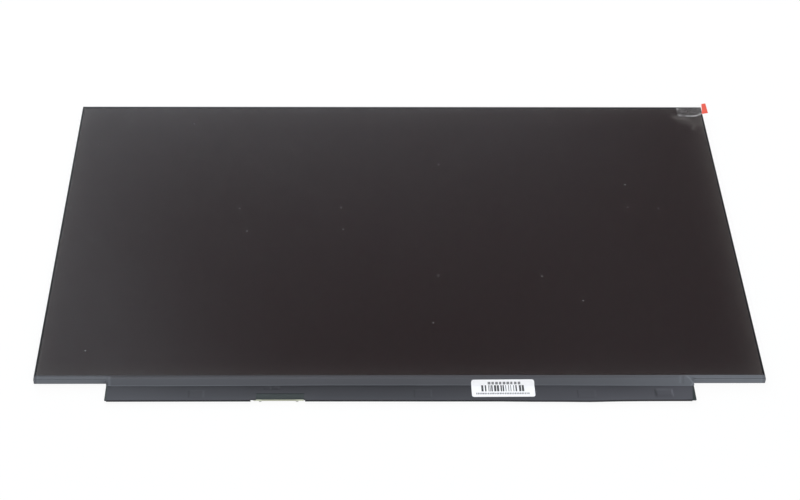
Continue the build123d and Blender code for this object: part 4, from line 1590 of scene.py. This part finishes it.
@dataclass(frozen=True)
class Print:
    """Generic print on a label: upright bars that encode nothing, and lines of dashes for words.

    The bars have their left, right, low and high end. Each line of dashes has the same, a step and a finish.
    """

    bars: tuple[float, float, float, float]
    dashes: Knots
    seed: int = SEED
    bar_step: float = 0.34
    bar_widths: tuple[int, ...] = (1, 1, 2, 2, 3)
    bar_draws: int = 400
    dash_share: tuple[float, float] = (0.55, 0.75)

    def edges(self) -> tuple[np.ndarray, np.ndarray, np.ndarray]:
        """Draws the bars' and dashes' edges with a seeded generator.

        Returns:
            All edges along the label, all edges across it, and the fields: left, right, low, high and finish.
        """
        draw = np.random.default_rng(self.seed)
        left, right, low, high = self.bars
        widths = draw.choice(self.bar_widths, self.bar_draws) * self.bar_step
        marks = left + np.concatenate([[0], np.cumsum(widths)])
        marks = marks[marks < right]
        marks = marks[: len(marks) // 2 * 2].reshape(-1, 2)
        ones = np.ones(len(marks))
        fields = [np.column_stack([marks, low * ones, high * ones, ones])]
        for start, end, bottom, top, step, finish in self.dashes:
            places = np.arange(start, end - step, step)
            lengths = step * draw.uniform(*self.dash_share, len(places))
            ones = np.ones(len(places))
            spans = [places, places + lengths, bottom * ones, top * ones, finish * ones]
            fields.append(np.column_stack(spans))
        fields = np.concatenate(fields)
        return np.unique(fields[:, :2]), np.unique(fields[:, 2:4]), fields

    def cells(self, x: np.ndarray, y: np.ndarray, fields: np.ndarray) -> np.ndarray:
        """Gives the finish of each cell of a grid: that of the field its middle lies in, or the plain one.

        Args:
            x: The cells' edges along the label.
            y: Their edges across it.
            fields: The printed fields: left, right, low, high and finish.

        Returns:
            The number of each cell's finish.
        """
        across, along = ((edges[1:] + edges[:-1]) / 2 for edges in (x, y))
        in_x = (across[:, None] > fields[:, 0]) & (across[:, None] < fields[:, 1])
        in_y = (along[:, None] > fields[:, 2]) & (along[:, None] < fields[:, 3])
        return (in_x[:, None, :] & in_y[None, :, :]).astype(int) @ fields[:, 4].astype(int)


@dataclass(kw_only=True)
class Label:
    """A white paper label with round corners and generic print."""

    node: str
    printing: Print
    corner: float
    thickness: float
    spread: tuple[int, int]
    corner_rows: int = 7
    digits: int = 4

    def __post_init__(self) -> None:
        """Reads the label's place from the frame."""
        self.place = extent(self.node)

    def outline(self) -> tuple[np.ndarray, np.ndarray, np.ndarray]:
        """Lays the label out flat about its middle, with lines at the edges of its print.

        Returns:
            Places across and along it, drawn in at its round corners, and the finish of each cell.
        """
        half, tall = self.place.size[0] / 2, self.place.size[1]
        bars_x, bars_y, fields = self.printing.edges()
        ends = np.linspace(0, self.corner, self.corner_rows)
        columns, rows = self.spread
        x = np.unique(np.concatenate([np.linspace(-half, half, columns), bars_x]))
        y = np.concatenate([np.linspace(0, tall, rows), ends, tall - ends, bars_y])
        y = np.unique(y.round(self.digits))
        across = x[:, None] * (1 - rounded_inset(y, 0, tall, self.corner) / half)
        return across, np.broadcast_to(y - tall / 2, across.shape), self.printing.cells(x, y, fields)

    def finish(self, name: str, grid: np.ndarray, cells: np.ndarray) -> None:
        """Makes the printed sheet on a grid and fixes it to the panel.

        Args:
            name: The piece's name.
            grid: The label's inner face.
            cells: The number of each cell's finish.
        """
        inks = [PAPER, BLACK_PRINT, GREY_PRINT]
        piece = make_sheet(name, grid, self.thickness, inks, print_of=cells)
        carry(piece, "label_paper", self.node)


@dataclass(kw_only=True)
class FrontLabel(Label):
    """The white label on the cover tape and the board's film, with generic bars and dashes."""

    cover: CoverTape
    film: BoardFilm
    node: str = "front_label"
    printing: Print = Print(
        (-10.4, 10.9, 3.3, 7.2), ((-7.2, 9.2, 7.6, 8.8, 1.8, 2), (-13.0, 13.4, 1.5, 2.5, 0.8, 2)),
    )
    corner: float = 1.1
    thickness: float = 0.09
    spread: tuple[int, int] = (20, 46)
    turn: float = 0.3
    drape: int = 5
    stand: float = 0.015

    def build(self) -> None:
        """Makes the label: a flat outline with round corners, turned a little and laid on what is below it.

        Its height is that of the tape or the film below, averaged over a few rows, as stiff paper bridges a
        step.
        """
        across, along, cells = self.outline()
        angle = math.radians(self.turn)
        centre = self.place.middle
        x = centre[0] + across * math.cos(angle) - along * math.sin(angle)
        y = centre[1] + across * math.sin(angle) + along * math.cos(angle)
        below = self.film.height(x, y) + self.film.thickness
        height = np.where(y > self.cover.tape.bottom, np.maximum(self.cover.height(y), below), below)
        count = 2 * self.drape + 1
        padded = np.pad(height, ((0, 0), (self.drape, self.drape)), mode="reflect", reflect_type="odd")
        smooth = sum(padded[:, start:start + y.shape[1]] / count for start in range(count))
        grid = np.stack([x, y, np.maximum(smooth, height) + self.stand], axis=2)
        self.finish("front_paper_label", grid, cells)


@dataclass(kw_only=True)
class RearLabel(Label):
    """The white label in the back plate's pocket, with generic bars and dashes."""

    node: str = "rear_label"
    printing: Print = Print(
        (-29.0, 4.0, 3.0, 8.6),
        (
            (-29.0, 10.0, 15.2, 17.4, 2.4, 1), (-29.0, 20.0, 11.8, 13.0, 1.3, 2),
            (9.0, 29.0, 3.4, 4.6, 1.3, 2), (9.0, 29.0, 6.4, 7.6, 1.3, 2),
        ),
        seed=SEED + 1,
    )
    corner: float = 1.0
    thickness: float = 0.08
    spread: tuple[int, int] = (2, 2)

    def build(self) -> None:
        """Makes the label as a flat sheet that faces down."""
        across, along, cells = self.outline()
        centre = self.place.middle
        level = np.full(across.shape, self.place.front)
        grid = np.stack([centre[0] - across, centre[1] + along, level], axis=2)
        self.finish("rear_paper_label", grid, cells)


@dataclass
class BoardParts:
    """What sits on the control board's rear: chips with leads, small parts with tinned ends, and pads."""

    capacitor_count: int = 84
    resistor_count: int = 42
    contact_count: int = 30
    end_share: float = 0.26
    end_proud: float = 0.02
    lead_sides: tuple[tuple[str, int], ...] = (
        ("timing_controller", 4), ("power_chip", 4), ("backlight_driver", 4), ("memory_chip", 2),
    )
    lead_pitch: float = 0.5
    lead_size: tuple[float, float, float] = (0.26, 0.5, 0.14)
    lead_reach: float = 0.14
    corner_gap: float = 0.5
    chamfer: float = 0.06
    fine_chamfer: float = 0.03
    solder_chamfer: float = 0.04
    mark_radius: float = 0.3
    mark_inset: float = 0.8
    mark_height: float = 0.01
    terminal_inset: float = 0.35
    terminal_length: float = 0.9
    terminal_share: float = 0.7
    terminal_height: float = 0.2
    solder_size: tuple[float, float, float] = (0.3, 0.7, 0.12)
    solder_inset: float = 0.1
    pad_radius: float = 0.4
    pad_height: float = 0.03
    pad_step: float = 4.0
    pad_margin: float = 6.0
    pad_share: float = 0.55
    pad_room: float = 1.5
    pad_inset: float = 1.2

    def __post_init__(self) -> None:
        """Reads the board's rear face from the frame."""
        self.board = extent("control_board")
        self.rear = self.board.rear

    def chip_parts(self, name: str, node: str, count: int, body: Finish, slot: str) -> None:
        """Makes the small two-ended parts of a group: a body, and a tinned end on each side of it.

        Args:
            name: The piece's name.
            node: The node that holds the group.
            count: How many parts it has.
            body: The bodies' finish.
            slot: The record's material slot.
        """
        centres, sizes = copies(node, count)
        share = self.end_share
        along = np.zeros_like(sizes)
        along[:, 0] = sizes[:, 0] * (1 - share) / 2
        ends = sizes * [share, 1, 1] + [0, self.end_proud, self.end_proud]
        bodies = sizes * [1 - share, 1, 1] - [0, self.end_proud, self.end_proud]
        places = np.concatenate([centres, centres - along, centres + along])
        all_sizes = np.concatenate([bodies, ends, ends])
        dress = np.repeat([0, 1], [count, 2 * count])
        carry(make_blocks(name, places, all_sizes, self.fine_chamfer, [body, TIN], dress), slot, node)

    def lead_row(self, box: Extent, axis: int, sign: int) -> tuple[np.ndarray, np.ndarray]:
        """Places a row of leads along one side of a chip.

        Args:
            box: The chip's box.
            axis: The axis that the side faces, 0 for X and 1 for Y.
            sign: The way that it faces along that axis.

        Returns:
            The leads' centres and sizes.
        """
        other = 1 - axis
        run = box.size[other] - 2 * self.corner_gap
        count = int(run / self.lead_pitch) + 1
        centres = np.zeros((count, 3))
        centres[:, other] = box.middle[other] + (np.arange(count) - (count - 1) / 2) * self.lead_pitch
        width, length, tall = self.lead_size
        centres[:, axis] = box.middle[axis] + sign * (box.size[axis] / 2 + self.lead_reach - length / 2)
        centres[:, 2] = self.rear - tall / 2
        sizes = np.full((count, 3), tall)
        sizes[:, other], sizes[:, axis] = width, length
        return centres, sizes

    def chips(self) -> None:
        """Makes the chips' bodies, leads and pin marks."""
        leads, marks = [], []
        for node, sides in self.lead_sides:
            box = extent(node)
            body = make_blocks(f"{node}_body", box.middle[None, :], box.size, self.chamfer, [CHIP_RESIN])
            carry(body, "chip_resin", node)
            ways = [(1, -1), (1, 1), (0, -1), (0, 1)][:sides]
            leads += [self.lead_row(box, axis, sign) for axis, sign in ways]
            marks.append([box.left + self.mark_inset, box.bottom + self.mark_inset, box.rear])
        centres, sizes = (np.concatenate(part) for part in zip(*leads))
        carry(make_blocks("chip_leads", centres, sizes, self.fine_chamfer, [TIN]), "contact_metal")
        discs = make_discs("chip_pin_marks", np.array(marks), self.mark_radius, self.mark_height, RESISTOR)
        carry(discs, "chip_resin")

    def terminals(self) -> None:
        """Makes the tinned terminals at the two ends of each inductor."""
        centres, sizes = [], []
        height = self.rear - self.terminal_height / 2
        for number in (1, 2, 3):
            box = extent(f"inductor_{number}")
            for sign in (-1, 1):
                across = box.middle[0] + sign * (box.size[0] / 2 - self.terminal_inset)
                centres.append([across, box.middle[1], height])
                sizes.append([self.terminal_length, box.size[1] * self.terminal_share, self.terminal_height])
        made = make_blocks(
            "inductor_terminals", np.array(centres), np.array(sizes), self.solder_chamfer, [TIN],
        )
        carry(made, "contact_metal")

    def solder(self) -> None:
        """Makes the solder at the feet of the connector's contacts."""
        contacts, sizes = copies("connector_contacts", self.contact_count)
        along = contacts[:, 1] + sizes[:, 1] / 2 - self.solder_inset
        height = np.full(len(contacts), self.rear - self.solder_size[2] / 2)
        feet = np.stack([contacts[:, 0], along, height], axis=1)
        made = make_blocks("contact_solder", feet, np.array(self.solder_size), self.solder_chamfer, [TIN])
        carry(made, "contact_metal")

    def pads(self) -> None:
        """Makes a row of gold test pads along the board's inner edge, with seeded gaps in it."""
        draw = np.random.default_rng(SEED)
        x = np.arange(self.board.left + self.pad_margin, self.board.right - self.pad_margin, self.pad_step)
        x = x[draw.uniform(size=len(x)) < self.pad_share]
        for node in ("left_ground_tape", "right_ground_tape", "backlight_socket"):
            box = extent(node)
            x = x[(x < box.left - self.pad_room) | (x > box.right + self.pad_room)]
        y = self.board.top - self.pad_inset
        places = np.stack([x, np.full(len(x), y), np.full(len(x), self.rear)], axis=1)
        carry(make_discs("board_test_pads", places, self.pad_radius, self.pad_height, GOLD), "contact_metal")

    def build(self) -> None:
        """Makes everything on the board's rear."""
        for name, node, count, body, slot in (
            ("capacitor", "ceramic_capacitors", self.capacitor_count, CERAMIC, "capacitor_body"),
            ("resistor", "chip_resistors", self.resistor_count, RESISTOR, "resistor_body"),
        ):
            self.chip_parts(f"{name}_bodies_and_ends", node, count, body, slot)
        self.chips()
        self.terminals()
        self.solder()
        self.pads()


@dataclass(frozen=True)
class SoftBox:
    """A rectangular lamp that looks at the panel's middle: its place and size in metres, and its light."""

    name: str
    place: tuple[float, float, float]
    size: tuple[float, float]
    watts: float
    colour: str = "#EDF7FF"

    def build(self) -> None:
        """Makes the lamp."""
        data = bpy.data.lights.new(self.name, "AREA")
        data.shape = "RECTANGLE"
        data.energy = self.watts
        data.size, data.size_y = self.size
        data.color = linear(self.colour)[:3]
        lamp = bpy.data.objects.new(self.name, data)
        lamp.location = self.place
        lamp.rotation_euler = (-Vector(self.place)).to_track_quat("-Z", "Y").to_euler()
        bpy.context.scene.collection.objects.link(lamp)


@dataclass
class Studio:
    """The camera, the floor and the light."""

    frame_width_px: float = 800.0
    focal_px: float = 1622.50
    axis_px: float = 368.5
    pitch: float = 44.538
    yaw: float = 0.907
    roll: float = -0.634
    eye_mm: tuple[float, float, float] = (-24.06, -611.55, 591.47)
    sensor_mm: float = 36.0
    clip: tuple[float, float] = (0.01, 50.0)
    floor_half: float = 4.0
    floor_drop_mm: float = 0.03
    floor_colour: str = "#F4F4F4"
    floor_glow: float = 0.92
    white: Colour = (1.0, 1.0, 1.0, 1.0)
    world_light: float = 0.6
    boxes: tuple[SoftBox, ...] = (
        SoftBox("back_left_box", (-0.45, 1.62, 0.56), (1.78, 1.1), 33.0),
        SoftBox("left_box", (-0.65, 0.85, 1.32), (0.84, 0.84), 6.0),
        SoftBox("right_box", (0.62, 0.74, 1.26), (0.9, 0.3), 0.4),
        SoftBox("front_box", (0.5, -1.5, 0.75), (1.2, 1.2), 14.0, "#F2FAFA"),
    )

    def camera(self) -> None:
        """Makes the camera at the photograph's viewing angle."""
        data = bpy.data.cameras.new("camera")
        data.sensor_width = self.sensor_mm
        data.lens = self.focal_px / self.frame_width_px * self.sensor_mm
        data.shift_x = 0.5 - self.axis_px / self.frame_width_px
        data.clip_start, data.clip_end = self.clip
        pitch, yaw, roll = (math.radians(angle) for angle in (self.pitch, self.yaw, self.roll))
        ahead = Vector((math.sin(yaw) * math.cos(pitch), math.cos(yaw) * math.cos(pitch), -math.sin(pitch)))
        level = Vector((math.cos(yaw), -math.sin(yaw), 0))
        down = ahead.cross(level)
        right = math.cos(roll) * level + math.sin(roll) * down
        under = -math.sin(roll) * level + math.cos(roll) * down
        turn = Matrix((right, -under, -ahead)).transposed().to_4x4()
        camera = bpy.data.objects.new("camera", data)
        camera.matrix_world = Matrix.Translation(Vector(self.eye_mm) * MM) @ turn
        bpy.context.scene.collection.objects.link(camera)
        bpy.context.scene.camera = camera

    def seen(self, tree: Tree) -> Socket:
        """Gives 1 for the rays that show the background itself: camera, glossy and transmission rays.

        Args:
            tree: The node tree of the floor's material or of the world.

        Returns:
            The value, 0 or 1.
        """
        path = add(tree, "ShaderNodeLightPath")
        either = {0: path.outputs["Is Camera Ray"], 1: path.outputs["Is Glossy Ray"]}
        both = add(tree, "ShaderNodeMath", either, operation="MAXIMUM").outputs[0]
        last = {0: both, 1: path.outputs["Is Transmission Ray"]}
        return add(tree, "ShaderNodeMath", last, operation="MAXIMUM").outputs[0]

    def floor(self) -> None:
        """Makes the pale floor, which shows near white and keeps a faint shadow."""
        side = self.floor_half
        drop = -self.floor_drop_mm * MM
        corners = [(-side, -side, drop), (side, -side, drop), (side, side, drop), (-side, side, drop)]
        made = bpy.data.materials.new("white_paper_backdrop")
        made.use_nodes = True
        tree = made.node_tree
        tree.nodes.clear()
        paper = add(tree, "ShaderNodeBsdfDiffuse", {"Color": linear(self.floor_colour)}).outputs[0]
        glow = add(tree, "ShaderNodeEmission", {"Color": self.white, "Strength": 1.0}).outputs[0]
        shown = {0: self.seen(tree), 1: self.floor_glow}
        share = add(tree, "ShaderNodeMath", shown, operation="MULTIPLY").outputs[0]
        mixed = add(tree, "ShaderNodeMixShader", {0: share, 1: paper, 2: glow}).outputs[0]
        add(tree, "ShaderNodeOutputMaterial", {"Surface": mixed})
        mesh = bpy.data.meshes.new("floor")
        mesh.from_pydata(corners, [], [(0, 1, 2, 3)])
        mesh.materials.append(made)
        floor = bpy.data.objects.new("floor", mesh)
        bpy.context.scene.collection.objects.link(floor)

    def light(self) -> None:
        """Makes the even world light, which shows as white, and the soft boxes."""
        world = bpy.data.worlds.new("studio")
        bpy.context.scene.world = world
        world.use_nodes = True
        tree = world.node_tree
        tree.nodes.clear()
        even, white = (
            add(tree, "ShaderNodeBackground", {"Color": self.white, "Strength": strength}).outputs[0]
            for strength in (self.world_light, 1.0)
        )
        mixed = add(tree, "ShaderNodeMixShader", {0: self.seen(tree), 1: even, 2: white}).outputs[0]
        add(tree, "ShaderNodeOutputWorld", {"Surface": mixed})
        for box in self.boxes:
            box.build()

    def build(self) -> None:
        """Sets up the view, the camera, the floor and the light."""
        bpy.context.scene.view_settings.view_transform = "Standard"
        self.camera()
        self.floor()
        self.light()


def dress_solids() -> None:
    """Gives every solid that keeps its shape its finish."""
    for node, finish in KEPT.items():
        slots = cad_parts[node].data.materials
        slots.clear()
        slots.append(finish.material())
        LOG.info("%s: %s", node, finish.name)


def main() -> None:
    """Builds the panel's pieces in order, dresses the solids and sets up the studio."""
    logging.basicConfig(level=logging.INFO, format="%(message)s")
    Studio().build()
    dress_solids()
    ScreenFront().build()
    BorderTapes().build()
    cover = CoverTape()
    cover.build()
    film = BoardFilm()
    film.build()
    FrontLabel(cover=cover, film=film).build()
    RearLabel().build()
    BoardParts().build()


if __name__ == "__main__":
    main()
